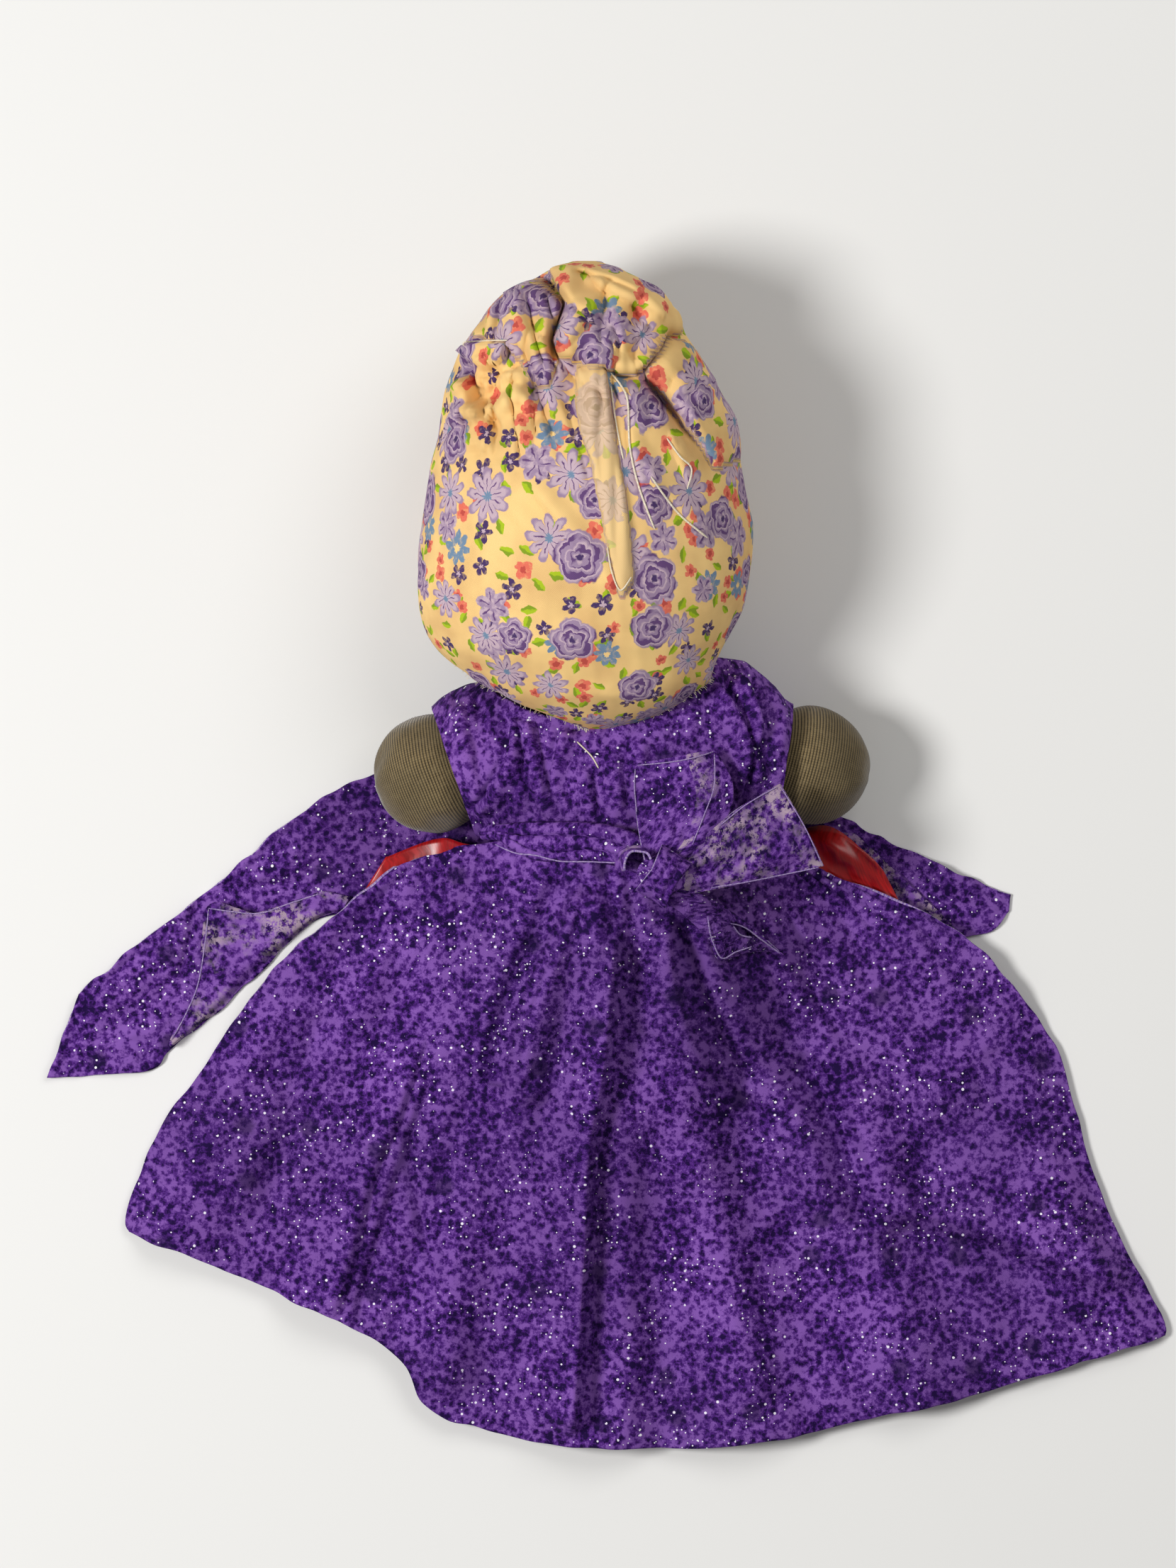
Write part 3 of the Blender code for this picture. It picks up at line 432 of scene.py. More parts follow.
def strokes(turn, petals, share, width, first, last):
    """Thin brush strokes along the petals, between two shares of the way out."""
    line = abs((turn * (petals / 2)).sine()).between(width, width * 0.5)
    return line * share.between(last, last - 0.08) * share.between(first, first + 0.05)


def leaves(look, scale, shift, chosen):
    """Small green leaves, darker along one side."""
    (x, y, _), _, chance = look.cells(scale, shift, 0.75)
    turn = chance[1] * FULL_TURN
    cosine = turn.cosine()
    sine = turn.sine()
    along = x * cosine + y * sine
    across = y * cosine - x * sine
    reach = abs(along / LEAF_HALF_LENGTH) ** 1.4 + abs(across / LEAF_HALF_WIDTH) ** 1.4
    green = look.mix(across.between(-0.0001, 0.0002) * 0.75, LEAF, LEAF_DEEP)
    look.paint(reach.between(1.0, 0.85) * (chance[0] < chosen), green)


def small_flowers(look, scale, shift, radius, petals, notch, chosen, petal, centre, eye):
    """Small plain flowers with streaked petals and a round eye."""
    mask, share, _ = flower(look, scale, shift, radius, petals, notch, chosen)
    faded = tuple(0.65 * a + 0.35 * b for a, b in zip(petal, CREAM))
    streak = look.mix(look.noise(600, 2, shift=shift).between(0.50, 0.75), petal, faded)
    look.paint(mask, look.mix(share.between(eye + 0.06, eye), streak, centre))


def roses(look):
    """Full roses: rings of petals in two lilacs, each ring's dark side turned another way."""
    mask, share, turn = flower(look, 45, 1.37, 0.0078, 5, 0.22, 0.62)
    ring = (share * 2.9).floor()
    scallop = abs((turn * 1.5 + ring * 1.9).cosine())
    bands = (share * 2.9 - scallop * 0.45).fraction()
    dark = bands.between(0.42, 0.52) * (turn + ring * 2.3).sine().between(-0.45, -0.15)
    petal = look.mix(bands.between(0.30, 0.12), LILAC, LILAC_PALE)
    petal = look.mix(dark, petal, LILAC_DEEP)
    look.paint(mask, look.mix(share.between(0.17, 0.10), petal, VIOLET_DARK))


def daisies(look):
    """Wide daisies: pale petals with a lilac rim, deep strokes and a blue eye."""
    mask, share, turn = flower(look, 47, 0.83, 0.0080, 9, 0.66, 0.60, 0.55)
    petal = look.mix(share.between(0.74, 0.86), LILAC_PALE, LILAC)
    petal = look.mix(strokes(turn, 9, share, 0.30, 0.12, 0.62), petal, LILAC_DEEP)
    look.paint(mask, look.mix(share.between(0.20, 0.15), petal, DUSTY_BLUE))


def asters(look):
    """Ragged asters: mottled lilac petals with deep strokes from the middle."""
    mask, share, turn = flower(look, 58, 2.11, 0.0060, 6, 0.34, 0.40, 0.8)
    petal = look.mix(look.noise(500, 2, shift=0.7).between(0.40, 0.65), LILAC, LILAC_PALE)
    look.paint(mask, look.mix(strokes(turn, 6, share, 0.34, 0.16, 0.80), petal, LILAC_DEEP))


def make_floral(name, fade):
    """Small garden flowers scattered on cream cotton."""
    look = Look(name, CREAM)
    look.paint(look.noise(45, 3).between(0.35, 0.7), CREAM_SHADE)
    look.unsteady(420, 0.0016)
    leaves(look, 128, 0.13, 0.56)
    leaves(look, 104, 3.13, 0.34)
    small_flowers(look, 118, 0.29, 0.0027, 5, 0.34, 0.27, CORAL, CORAL_DEEP, 0.40)
    small_flowers(look, 92, 2.29, 0.0030, 4, 0.36, 0.22, CORAL, CORAL_DEEP, 0.30)
    small_flowers(look, 104, 0.61, 0.0034, 5, 0.72, 0.34, VIOLET_DARK, LILAC_PALE, 0.22)
    small_flowers(look, 60, 0.47, 0.0052, 8, 0.48, 0.26, DUSTY_BLUE, CREAM, 0.20)
    asters(look)
    daisies(look)
    roses(look)
    if fade:
        look.paint(fade, CREAM_WRONG)
    threads = look.weave(0.00055)
    look.paint(threads * 0.10, THREAD_SHADE)
    return look.finish(threads, 0.00012, 0.86, gleam=0.12)


PURPLE_DARK = srgb(27, 7, 58)
PURPLE = srgb(78, 34, 122)
PURPLE_LIGHT = srgb(136, 90, 176)
INDIGO = srgb(24, 12, 50)
PURPLE_WRONG = srgb(176, 154, 168)
GLITTER = srgb(244, 238, 250)


def make_batik(name, wrong_side):
    """Mottled purple cotton with glitter dots; its wrong side is pale where the dye has not gone through."""
    look = Look(name, PURPLE_DARK)
    look.unsteady(850, 0.0022)
    _, out, _ = look.cells(430, 0.9)
    net = out.between(0.0003, 0.0015)
    mottle = look.noise(520, 8, 0.76, shift=0.4) * 0.62 + look.noise(85, 5, 0.6) * 0.38 + net * 0.16
    look.paint(mottle.between(0.48, 0.56), PURPLE)
    look.paint(mottle.between(0.58, 0.68) * 0.95, PURPLE_LIGHT)
    _, out, chance = look.cells(46, 1.9)
    look.paint(out.between(0.0038, 0.0020) * (chance[0] < 0.36) * 0.62, INDIGO)
    look.paint(look.noise(18, 2, 0.5, shift=1.6).between(0.35, 0.70) * 0.30, PURPLE_DARK)
    gloss = 0.80
    if wrong_side:
        pale = look.noise(300, 8, 0.8, shift=2.2) + net * 0.10
        patches = look.noise(60, 3, 0.6, shift=2.9).between(0.44, 0.62)
        look.paint(pale.between(0.53, 0.59) * patches * 0.92, PURPLE_WRONG)
    else:
        look.drawn = look.cloth
        where = look.noise(40, 4, 0.65, shift=3.1).between(0.46, 0.62)
        dots = 0.0
        for scale, shift, least, most, chosen in ((300, 5.1, 0.00022, 0.00048, 0.38),
                                                  (620, 7.7, 0.00012, 0.00026, 0.26)):
            _, out, chance = look.cells(scale, shift)
            dot = (out / (chance[1] * (most - least) + least)).between(1.0, 0.75)
            dots = (dot * (chance[0] < where * chosen)).largest(dots)
        look.paint(dots, GLITTER)
        gloss = 0.80 - dots * 0.5
    threads = look.weave(0.00060, diagonal=True)
    look.paint(threads * 0.14, PURPLE_DARK)
    return look.finish(threads, 0.00014, gloss, gleam=0.10)


KNIT_PITCH = 0.00092
LOOP_PITCH = 0.00080
# Painted shade: the colour of the knit's grooves, darker than the yarn for the shade that falls in them
KNIT_GROOVE_SHADE = srgb(32, 27, 17)
KNIT_LIGHT = srgb(136, 117, 82)
KNIT_DUSTY = srgb(142, 125, 92)
KNIT_STAIN = srgb(76, 68, 50)


def make_knit():
    """Ribbed olive-grey stocking, each rib a pair of looped rows, with painted shade in the grooves between
    the ribs.
    """
    look = Look("olive_grey_knit", KNIT_GROOVE_SHADE)
    x, y, _ = look.split(look.cloth)
    rib = abs((x * (math.pi / KNIT_PITCH)).sine())
    loop = abs((y * (math.pi / LOOP_PITCH) + rib * 0.9).sine())
    height = rib * (loop * 0.35 + 0.65)
    # Painted shade: the low places between the ribs keep the dark colour, the rib tops are painted lighter
    look.paint(height.between(0.15, 0.95), KNIT_LIGHT)
    look.paint(look.noise(420, 5, 0.7).between(0.45, 0.75) * 0.30, KNIT_DUSTY)
    look.paint(look.noise(60, 2).between(0.3, 0.7) * 0.25, KNIT_STAIN)
    return look.finish(height, 0.00035, 0.92, sheen=0.35, strength=0.7)


RED = srgb(142, 2, 8)
# Painted sheen: the colour of the satin's shiny streaks
RED_SHEEN = srgb(184, 8, 14)
RED_DARK = srgb(98, 1, 5)


def make_satin():
    """Red satin whose fine lighter streaks along its threads are painted sheen."""
    look = Look("red_satin", RED)
    drawn_out = look.vector("MULTIPLY", look.cloth, (1.0, 0.12, 1.0))
    inputs = {"Vector": drawn_out, "Scale": 900.0, "Detail": 3.0}
    streak = look.node("ShaderNodeTexNoise", inputs, "Fac", noise_dimensions="2D")
    # Painted sheen: lighter red streaks along the threads stand in for the satin's shine
    look.paint(streak.between(0.35, 0.65), RED_SHEEN)
    look.paint(look.noise(40, 2).between(0.3, 0.7) * 0.40, RED_DARK)
    return look.finish(streak, 0.00004, streak * 0.15 + 0.26, gleam=0.5, sheen=0.1, strength=0.3)


def make_plain(name, light, dark, scale):
    """Thread or loose fibre: two near shades mottled at one scale."""
    look = Look(name, dark)
    spot = look.noise(scale, 4, 0.6)
    look.paint(spot.between(0.35, 0.65), light)
    return look.finish(spot, 0.0002, 0.9, sheen=0.2)


FLORAL = make_floral("floral_cotton", 0.0)
FLORAL_WRONG = make_floral("floral_cotton_wrong_side", 0.60)
BATIK = make_batik("purple_cotton", False)
BATIK_WRONG = make_batik("purple_cotton_wrong_side", True)
KNIT = make_knit()
SATIN = make_satin()
THREAD = make_plain("white_thread", srgb(236, 226, 204), srgb(206, 192, 166), 2400)
RAW_EDGE = make_plain("purple_cotton_raw_edge", srgb(178, 158, 190), srgb(106, 74, 154), 1800)
PURPLE_SIDES = [BATIK, BATIK_WRONG, RAW_EDGE]


# Pieces from grids of places

doll = bpy.data.collections.new("doll_looks")
bpy.context.scene.collection.children.link(doll)


def settle(piece, slot_name, *nodes):
    """Every piece rides on the one body and may stand for solids, which it hides; the slot name is not used.
    """
    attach(piece, "root")
    if nodes:
        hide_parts(*nodes)
    return piece


def show(name, mesh):
    """Puts a mesh into the scene as a piece of the doll."""
    made = bpy.data.objects.new(name, mesh)
    doll.objects.link(made)
    return made


def corners(grid):
    """The four corners of each square of a grid."""
    return np.stack([grid[:-1, :-1], grid[1:, :-1], grid[1:, 1:], grid[:-1, 1:]], axis=2)


def grid_piece(name, places, cloth, looks, round_about=False, kinds=None):
    """A smooth piece from rows and columns of places; a round one joins its last column to its first."""
    index = np.arange(places[..., 0].size).reshape(places.shape[:2])
    faces = corners(closed(index) if round_about else index).reshape(-1, 4)
    mesh = bpy.data.meshes.new(name)
    mesh.from_pydata(places.reshape(-1, 3).tolist(), [], faces.tolist())
    layer = mesh.uv_layers.new(name="cloth")
    layer.data.foreach_set("uv", corners(cloth).astype(np.float32).ravel())
    for look in looks:
        mesh.materials.append(look)
    if kinds is not None:
        mesh.polygons.foreach_set("material_index", kinds.astype(np.int32).ravel())
    mesh.shade_smooth()
    return show(name, mesh)


def thicken(piece, thickness):
    """Gives a sheet its thickness: its next material on the far side, its last one on the cut edges."""
    wall = piece.modifiers.new("thickness", "SOLIDIFY")
    wall.thickness = thickness
    wall.offset = 0.0
    wall.use_even_offset = False
    wall.material_offset = 1
    wall.material_offset_rim = len(piece.data.materials) - 1
    return piece


def measured(places, shift=0.0):
    """Cloth coordinates of a grid by the length along its rows and columns, in metres."""
    across = np.linalg.norm(np.diff(places, axis=1), axis=2)
    down = np.linalg.norm(np.diff(places, axis=0), axis=2)
    u = np.pad(np.cumsum(across, axis=1), ((0, 0), (1, 0)))
    v = np.pad(np.cumsum(down, axis=0), ((1, 0), (0, 0)))
    return np.stack([u - u.mean(axis=1, keepdims=True), shift - v], axis=-1)


def laid_flat(places, shift):
    """Cloth coordinates of a sheet that lies nearly flat: its plan, moved to a fresh part of the print."""
    return places[..., :2] + (0.0, shift)


def tube(middle, radius, sides, first, second):
    """Rings of places round a line, each in the plane of two directions."""
    turn = turns(sides)
    ring = np.cos(turn)[:, None] * first[:, None, :] + np.sin(turn)[:, None] * np.array(second)
    return middle[:, None, :] + np.reshape(radius, (-1, 1, 1)) * ring


def fibres(name, starts, ways, lengths, radius, seed, droop):
    """Loose fibres: thin three-sided tubes that leave their starts in their ways and curl."""
    chance = np.random.default_rng(seed)
    places, sides, ends, tips = [], [], [], []
    steps = 5
    for start, way, length in zip(starts, ways, lengths):
        way = way / np.linalg.norm(way)
        curl = chance.normal(0, 0.45, 3)
        spot = np.array(start, float)
        for step in range(steps):
            low = len(places)
            aside = np.cross(way, (0.3, 0.2, 1.0))
            aside = aside / np.linalg.norm(aside)
            above = np.cross(aside, way)
            thin = radius * (1 - 0.5 * step / steps)
            for turn in (0.0, 2.094, 4.189):
                places.append(spot + aside * thin * math.cos(turn) + above * thin * math.sin(turn))
            if step == 0:
                ends.append((low + 2, low + 1, low))
            if step == steps - 1:
                tips.append((low, low + 1, low + 2))
            else:
                sides += [(low + k, low + (k + 1) % 3, low + 3 + (k + 1) % 3, low + 3 + k) for k in range(3)]
            spot = spot + way * length / (steps - 1)
            way = way + curl * 0.35 - np.array((0, 0, droop))
            way = way / np.linalg.norm(way)
    mesh = bpy.data.meshes.new(name)
    mesh.from_pydata([tuple(p) for p in places], [], sides + ends + tips)
    mesh.materials.append(THREAD)
    mesh.shade_smooth()
    return show(name, mesh)


@contextmanager
def editing(mesh):
    """A mesh laid open for changes, which it keeps at the end."""
    form = bmesh.new()
    form.from_mesh(mesh)
    yield form
    form.to_mesh(mesh)
    form.free()


def cap_ends(piece):
    """Closes the two open rings of a round piece."""
    with editing(piece.data) as form:
        open_edges = [edge for edge in form.edges if edge.is_boundary]
        bmesh.ops.holes_fill(form, edges=open_edges, sides=0)
        bmesh.ops.recalc_face_normals(form, faces=form.faces)
        for face in form.faces:
            face.smooth = True


def cut(form, place, way, clear_outer=False):
    """Cuts the faces along a plane, and takes away what lies beyond it if asked to."""
    parts = list(form.verts) + list(form.edges) + list(form.faces)
    bmesh.ops.bisect_plane(form, geom=parts, plane_co=place, plane_no=way, clear_outer=clear_outer)


# The stocking body

SOCK_ROUND = 0.180
SOCK_TOP_Y = 0.0405


def head_rows(count):
    """Rings of the stuffed head: place along the doll, half sizes, middle, and the lowest height."""
    angles = np.radians(np.linspace(160, 6, count))
    y = HEAD_Y + HEAD_HALF[1] * np.cos(angles)
    blend = smooth(math.radians(140), math.radians(165), angles)
    middle = HEAD_X * (1 - 0.5 * blend)
    height = (1 - blend) * HEAD_Z + blend * (NECK_Z + 0.002)
    floor = (CLOTH + 2 * GAP) * smooth(BROW_Y - 0.006, BROW_Y, y)
    out = np.sin(angles)
    return list(zip(y, HEAD_HALF[0] * out, HEAD_HALF[2] * out, middle, height, floor))


def make_knit_body(sides=160):
    """The stocking over torso, neck and head, in one piece."""
    rows = [(y, *(column(TORSO_SECTIONS, y, k) for k in (1, 2)), 0.0, column(TORSO_SECTIONS, y, 3), -1.0)
            for y in np.linspace(TORSO_END_Y, SOCK_TOP_Y, 60)]
    rows += head_rows(80)
    turn = turns(sides)
    places = np.zeros((len(rows), sides, 3))
    for i, (y, width, depth, x, z, floor) in enumerate(rows):
        places[i, :, 0] = x + width * np.cos(turn)
        places[i, :, 1] = y
        places[i, :, 2] = np.maximum(floor, z + depth * np.sin(turn))
    cloth = measured(closed(places))
    cloth[..., 0] = np.linspace(0, SOCK_ROUND, sides + 1)
    body = grid_piece("knit_body", places[:, ::-1], cloth, [KNIT], round_about=True)
    cap_ends(body)
    settle(body, "knit", "sock_body", "head_stuffing", "torso_stuffing")


ARM_SEEDS = {"left": 31, "right": 47}
ARM_SIDES = 144
ARM_ROWS = 210


def make_arm(side_name, root, ball):
    """A stuffed ball at the end of a short sleeve of stocking, its ribs running round it."""
    axis = (ball - root).normalized()
    side = axis.cross(Vector((0, 0, 1))).normalized()
    up = side.cross(axis)
    turn = turns(ARM_SIDES)
    first = math.asin(ARM_ROOT_RADIUS / ARM_RADIUS)
    angles = np.concatenate([[math.pi - first], np.linspace(math.pi - first - 0.05, 0.03, ARM_ROWS - 1)])
    along = (ball - root).length + ARM_RADIUS * np.cos(angles)
    along[0] = 0.001
    out = (ARM_RADIUS * np.sin(angles))[:, None]
    centre = np.array(root) + along[:, None] * np.array(axis)
    spread = np.array(side) * np.cos(turn)[:, None] + np.array(up) * np.sin(turn)[:, None]
    lumps = 0.00045 * ripple(turn[None, :] * 0.016, along[:, None], ARM_SEEDS[side_name], 14)
    arc = np.concatenate([[0], np.cumsum(np.abs(np.diff(angles)) * ARM_RADIUS)])
    rib = 0.00010 * np.cos(2 * math.pi * arc / KNIT_PITCH)[:, None]
    radius = out + (lumps - 0.0004) * smooth(0.001, 0.006, out) + rib
    places = centre[:, None, :] + radius[..., None] * spread
    around = np.linspace(0, 2 * math.pi * ARM_RADIUS, ARM_SIDES + 1)
    cloth = np.stack(np.meshgrid(around, arc), axis=-1)[..., ::-1]
    made = grid_piece(side_name + "_arm", places, cloth, [KNIT], round_about=True)
    cap_ends(made)
    settle(made, "knit", side_name + "_arm_skin", side_name + "_arm_stuffing")


def make_neck_thread():
    """Thread wound three times round the neck, its end tucked in."""
    rounds, sides, steps = 3, 8, 150
    t = np.linspace(0, 1, steps)
    angle = 2 * math.pi * rounds * t
    radius = NECK_RADIUS + GAP + THREAD_RADIUS * 0.7
    middle = np.stack([(radius + 0.0012) * np.cos(angle), NECK_Y + 0.0016 * (t - 0.5) * 2,
                       NECK_Z + radius * np.sin(angle)], axis=-1)
    outward = np.stack([np.cos(angle), np.zeros(steps), np.sin(angle)], axis=-1)
    places = tube(middle, THREAD_RADIUS * 0.55, sides, outward, (0, 1.0, 0))
    cloth = np.stack(np.meshgrid(np.linspace(0, 0.004, sides + 1), np.linspace(0, 0.28, steps)), axis=-1)
    made = grid_piece("neck_winding", places, cloth, [THREAD], round_about=True)
    cap_ends(made)
    settle(made, "thread", "neck_thread")


# Heights of the layers over the torso, as in the solids

TORSO_STOPS = np.linspace(TORSO_END_Y, 0.004, 60)
SKIRT_SLOPE_ALONG = 0.45
SLOPE_BELOW = 0.9
SLOPE_AT_WAIST = 1.7
BLEND = 0.007


def tent(x, y, offset):
    """The height of a cloth that hangs off the torso, the offset away from the stocking."""
    steepest = SLOPE_BELOW + (SLOPE_AT_WAIST - SLOPE_BELOW) * smooth(-0.030, -0.006, y)
    best = np.full(x.shape, -1.0)
    for stop in TORSO_STOPS:
        half_width = column(TORSO_SECTIONS, stop, 1) + offset
        half_depth = column(TORSO_SECTIONS, stop, 2) + offset
        diagonal = np.hypot(half_depth, steepest * half_width)
        leaves_at = steepest * half_width ** 2 / diagonal
        leaves_height = half_depth ** 2 / diagonal
        on_oval = half_depth * np.sqrt(np.maximum(0.0, 1 - (x / half_width) ** 2))
        on_slope = leaves_height - steepest * (np.abs(x) - leaves_at)
        across = column(TORSO_SECTIONS, stop, 3) + np.where(np.abs(x) < leaves_at, on_oval, on_slope)
        best = np.maximum(best, across - SKIRT_SLOPE_ALONG * np.abs(y - stop))
    return best


def front_height(x, y):
    """The front panel's height on the surface, higher where the sash and its flap lie under it."""
    over_sash = smooth(-0.060, -0.046, y)
    over_flap = 1 - smooth(-0.076, -0.062, x)
    return CLOTH / 2 + over_sash * (CLOTH + GAP + 0.0002 * over_sash + 0.0014 * over_flap)


def looseness(y):
    """How much farther from the stocking a layer hangs below the waist."""
    return 0.0015 * (1 - smooth(-0.026, -0.008, y))


def blended_max(a, b):
    """The higher of two heights, with a rounded step where they meet."""
    return (a + b + np.hypot(a - b, BLEND)) / 2


def ridge_height(ridges, x, y):
    """The lift of straight ridges: their ends, and the width and the height at both ends."""
    total = np.zeros(x.shape)
    for (x0, y0), (x1, y1), width0, width1, height0, height1 in ridges:
        run = (x1 - x0, y1 - y0)
        share = np.clip(((x - x0) * run[0] + (y - y0) * run[1]) / (run[0] ** 2 + run[1] ** 2), 0, 1)
        away = np.hypot(x - x0 - run[0] * share, y - y0 - run[1] * share)
        width = width0 + (width1 - width0) * share
        roll = np.clip(1 - (away / width) ** 2, 0, 1) ** 2
        total = total + roll * (height0 + (height1 - height0) * share)
    return total


def petticoat_height(x, y):
    """The smooth height of the satin layer's back."""
    return blended_max(front_height(x, y) + PETTICOAT_LIFT, tent(x, y, PETTICOAT_OFFSET + looseness(y)))


def skirt_height(x, y):
    """The height of the skirt's back with the solid's ridges, without the finer folds."""
    low = front_height(x, y) + SKIRT_LIFT
    rolls = ridge_height(SKIRT_RIDGES, x, y) * (1 - smooth(-0.022, -0.010, y))
    return blended_max(low, tent(x, y, SKIRT_OFFSET + 2 * looseness(y))) + rolls


# The skirt's folds in the photograph: the line, the lift in mm at both ends, the widths in mm
SKIRT_FOLDS = [
    [((806, 1236), (782, 1300), (742, 1385), (724, 1452), (708, 1540)), -4.0, -6.0, 9.0, 2.2, 0.05],
    [((822, 1240), (800, 1310), (764, 1400), (744, 1470), (732, 1560)), 4.4, 4.4, 2.0, 14.0, 0.10],
    [((706, 1545), (730, 1540), (760, 1510)), -1.6, -1.0, 2.5, 2.5],
    [((868, 1300), (850, 1498), (829, 1614), (824, 1730), (815, 1893), (806, 2030)),
     4.0, 6.0, 16.0, 2.0, 0.05],
    [((884, 1330), (866, 1500), (848, 1614), (842, 1730), (838, 1893), (832, 2030)),
     -1.6, -2.6, 3.0, 12.0, 0.05],
    [((560, 1225), (508, 1342), (433, 1475), (381, 1560)), -2.0, -2.4, 11.0, 8.0],
    [((600, 1440), (560, 1560), (520, 1655), (491, 1765), (462, 1870)), 2.2, 3.0, 12.0, 3.2],
    [((618, 1500), (584, 1600), (550, 1700), (520, 1800), (500, 1890)), -1.4, -1.8, 3.0, 8.0],
    [((575, 1568), (592, 1701), (613, 1777), (601, 1870)), -1.2, -1.4, 4.0, 4.0],
    [((640, 1290), (600, 1400), (560, 1480)), 1.4, 0.8, 4.0, 6.0],
    [((700, 1230), (670, 1330), (640, 1450)), -1.2, -0.8, 3.0, 4.0],
    [((954, 1283), (977, 1370), (1012, 1452), (1070, 1545)), -3.0, -2.0, 4.0, 6.0],
    [((934, 1300), (950, 1400), (985, 1490), (1040, 1570)), 2.4, 1.4, 8.0, 3.0],
    [((880, 1440), (919, 1463), (1000, 1515), (1058, 1550), (1093, 1597)), -1.3, -1.6, 5.0, 3.0],
    [((1093, 1249), (1111, 1301), (1140, 1347), (1186, 1394)), -1.6, -1.2, 5.0, 3.0],
    [((1080, 1260), (1096, 1330), (1130, 1400), (1180, 1470)), 1.6, 1.4, 6.0, 3.0],
    [((1122, 1478), (1163, 1545), (1192, 1608), (1209, 1672), (1227, 1740)), -2.6, -3.4, 12.0, 4.0],
    [((1140, 1460), (1190, 1530), (1222, 1608), (1240, 1672), (1250, 1730)), 2.2, 2.8, 3.0, 14.0],
    [((1227, 1745), (1291, 1738), (1360, 1752), (1418, 1769), (1494, 1801), (1600, 1842)),
     -2.6, -1.6, 9.0, 3.0],
    [((1240, 1712), (1300, 1710), (1360, 1724), (1430, 1748), (1500, 1775), (1600, 1818)),
     2.4, 1.6, 3.0, 12.0],
    [((1273, 1690), (1337, 1608), (1418, 1527)), -1.6, -1.2, 12.0, 12.0],
    [((1250, 1300), (1330, 1400), (1400, 1500)), 1.6, 1.2, 12.0, 12.0],
    [((980, 1600), (1010, 1750), (1040, 1900), (1060, 2000)), 1.6, 3.0, 16.0, 12.0],
    [((920, 1560), (935, 1750), (950, 1960)), -1.4, -2.4, 12.0, 10.0],
    [((1120, 1700), (1150, 1820), (1180, 1930)), -1.2, -2.0, 12.0, 12.0],
    [((700, 1620), (690, 1760), (680, 1900), (690, 1990)), -1.6, -2.6, 12.0, 9.0],
    [((760, 1600), (752, 1760), (750, 1900)), 1.2, 1.6, 8.0, 9.0],
    [((380, 1420), (320, 1540), (260, 1660)), 1.6, 1.8, 12.0, 9.0],
    [((470, 1420), (420, 1560), (370, 1720)), -1.2, -1.6, 9.0, 9.0],
]
FOLD_GAIN = 1.6


def skirt_relief(x, y, u, v):
    """The folds, the gathers below the tie and the small wrinkles of the skirt's back."""
    low = 1 - smooth(-0.016, -0.004, y)
    gathers = np.cos(2 * math.pi * (23 * u + 0.25 * ripple(u * 0.3, v * 0.1, 5, 60)))
    gathers = gathers * (1 - smooth(0.10, 0.42, v)) * (0.35 + 0.65 * smooth(0.0, 0.08, v)) * 0.00055
    waves = 0.00055 * ripple(x, y * 0.5, 11, 26) * smooth(0.10, 0.35, v)
    small = 0.00018 * ripple(x, y, 12, 8) * smooth(0.05, 0.2, v)
    pinch = -0.00045 * creases(x, y * 0.6, 13, 42) * smooth(0.08, 0.3, v)
    cloth = FOLD_GAIN * folds(x, y, SKIRT_FOLDS) + waves + small + pinch
    return cloth * low + gathers * (1 - smooth(-0.001, 0.004, y))


def edge_wobble(places, seed, size):
    """Cut edges are never quite straight: a small in-plane wobble near the edges of a patch."""
    u, v = squares(*places.shape[1::-1])
    near = np.clip(1 - np.minimum(np.minimum(u, 1 - u) * 20, np.minimum(v, 1 - v) * 16), 0, 1)
    places[..., 0] += near * size * ripple(places[..., 0], places[..., 1], seed, 12)
    places[..., 1] += near * size * ripple(places[..., 0], places[..., 1], seed + 1, 9)
    return places


def make_skirt_back():
    """The gathered back panel; its side seams lie on the front panel."""
    u, v = squares(290, 150)
    v = v ** 0.92
    plan = edge_wobble(coons(WAIST_TOP, SKIRT_HEM, SKIRT_LEFT, SKIRT_RIGHT, u, v), 61, 0.0003)
    x, y = plan[..., 0], plan[..., 1]
    width = np.linalg.norm(through(SKIRT_LEFT, v) - through(SKIRT_RIGHT, v), axis=-1)
    edge = np.minimum(u, 1 - u) * width
    fall = (1 - smooth(0.0, 0.014, edge)) * (1 - smooth(-0.055, -0.035, y))
    seam = front_height(x, y) + LAYER_STEP
    height = skirt_height(x, y) + skirt_relief(x, y, u, v)
    height = np.maximum(height * (1 - fall) + seam * fall, seam)
    places = np.stack([x, y, height], axis=-1)
    back = thicken(grid_piece("skirt_back_panel", places, laid_flat(places, 0.5), PURPLE_SIDES), CLOTH)
    settle(back, "purple_cotton", "skirt_back")
    return places


def make_skirt_front():
    """The front panel, flat on the surface with its wrong side up."""
    u, v = squares(150, 80)
    plan = coons(FRONT_TOP, SKIRT_HEM, SKIRT_LEFT, FRONT_RIGHT, u, v)
    x, y = plan[..., 0] * (1 - FRONT_INSET / 0.15), plan[..., 1] + FRONT_INSET * v
    ripples = 0.0003 * (1 + ripple(x, y, 71, 22)) * smooth(-0.070, -0.090, y)
    places = np.stack([x, y, front_height(x, y) + np.clip(ripples, 0, 0.0008)], axis=-1)
    looks = [BATIK_WRONG, BATIK, RAW_EDGE]
    front = thicken(grid_piece("skirt_front_panel", places, laid_flat(places, 0.9), looks), CLOTH * 0.9)
    settle(front, "purple_cotton", "skirt_front")


COVER_REACH = 0.0022


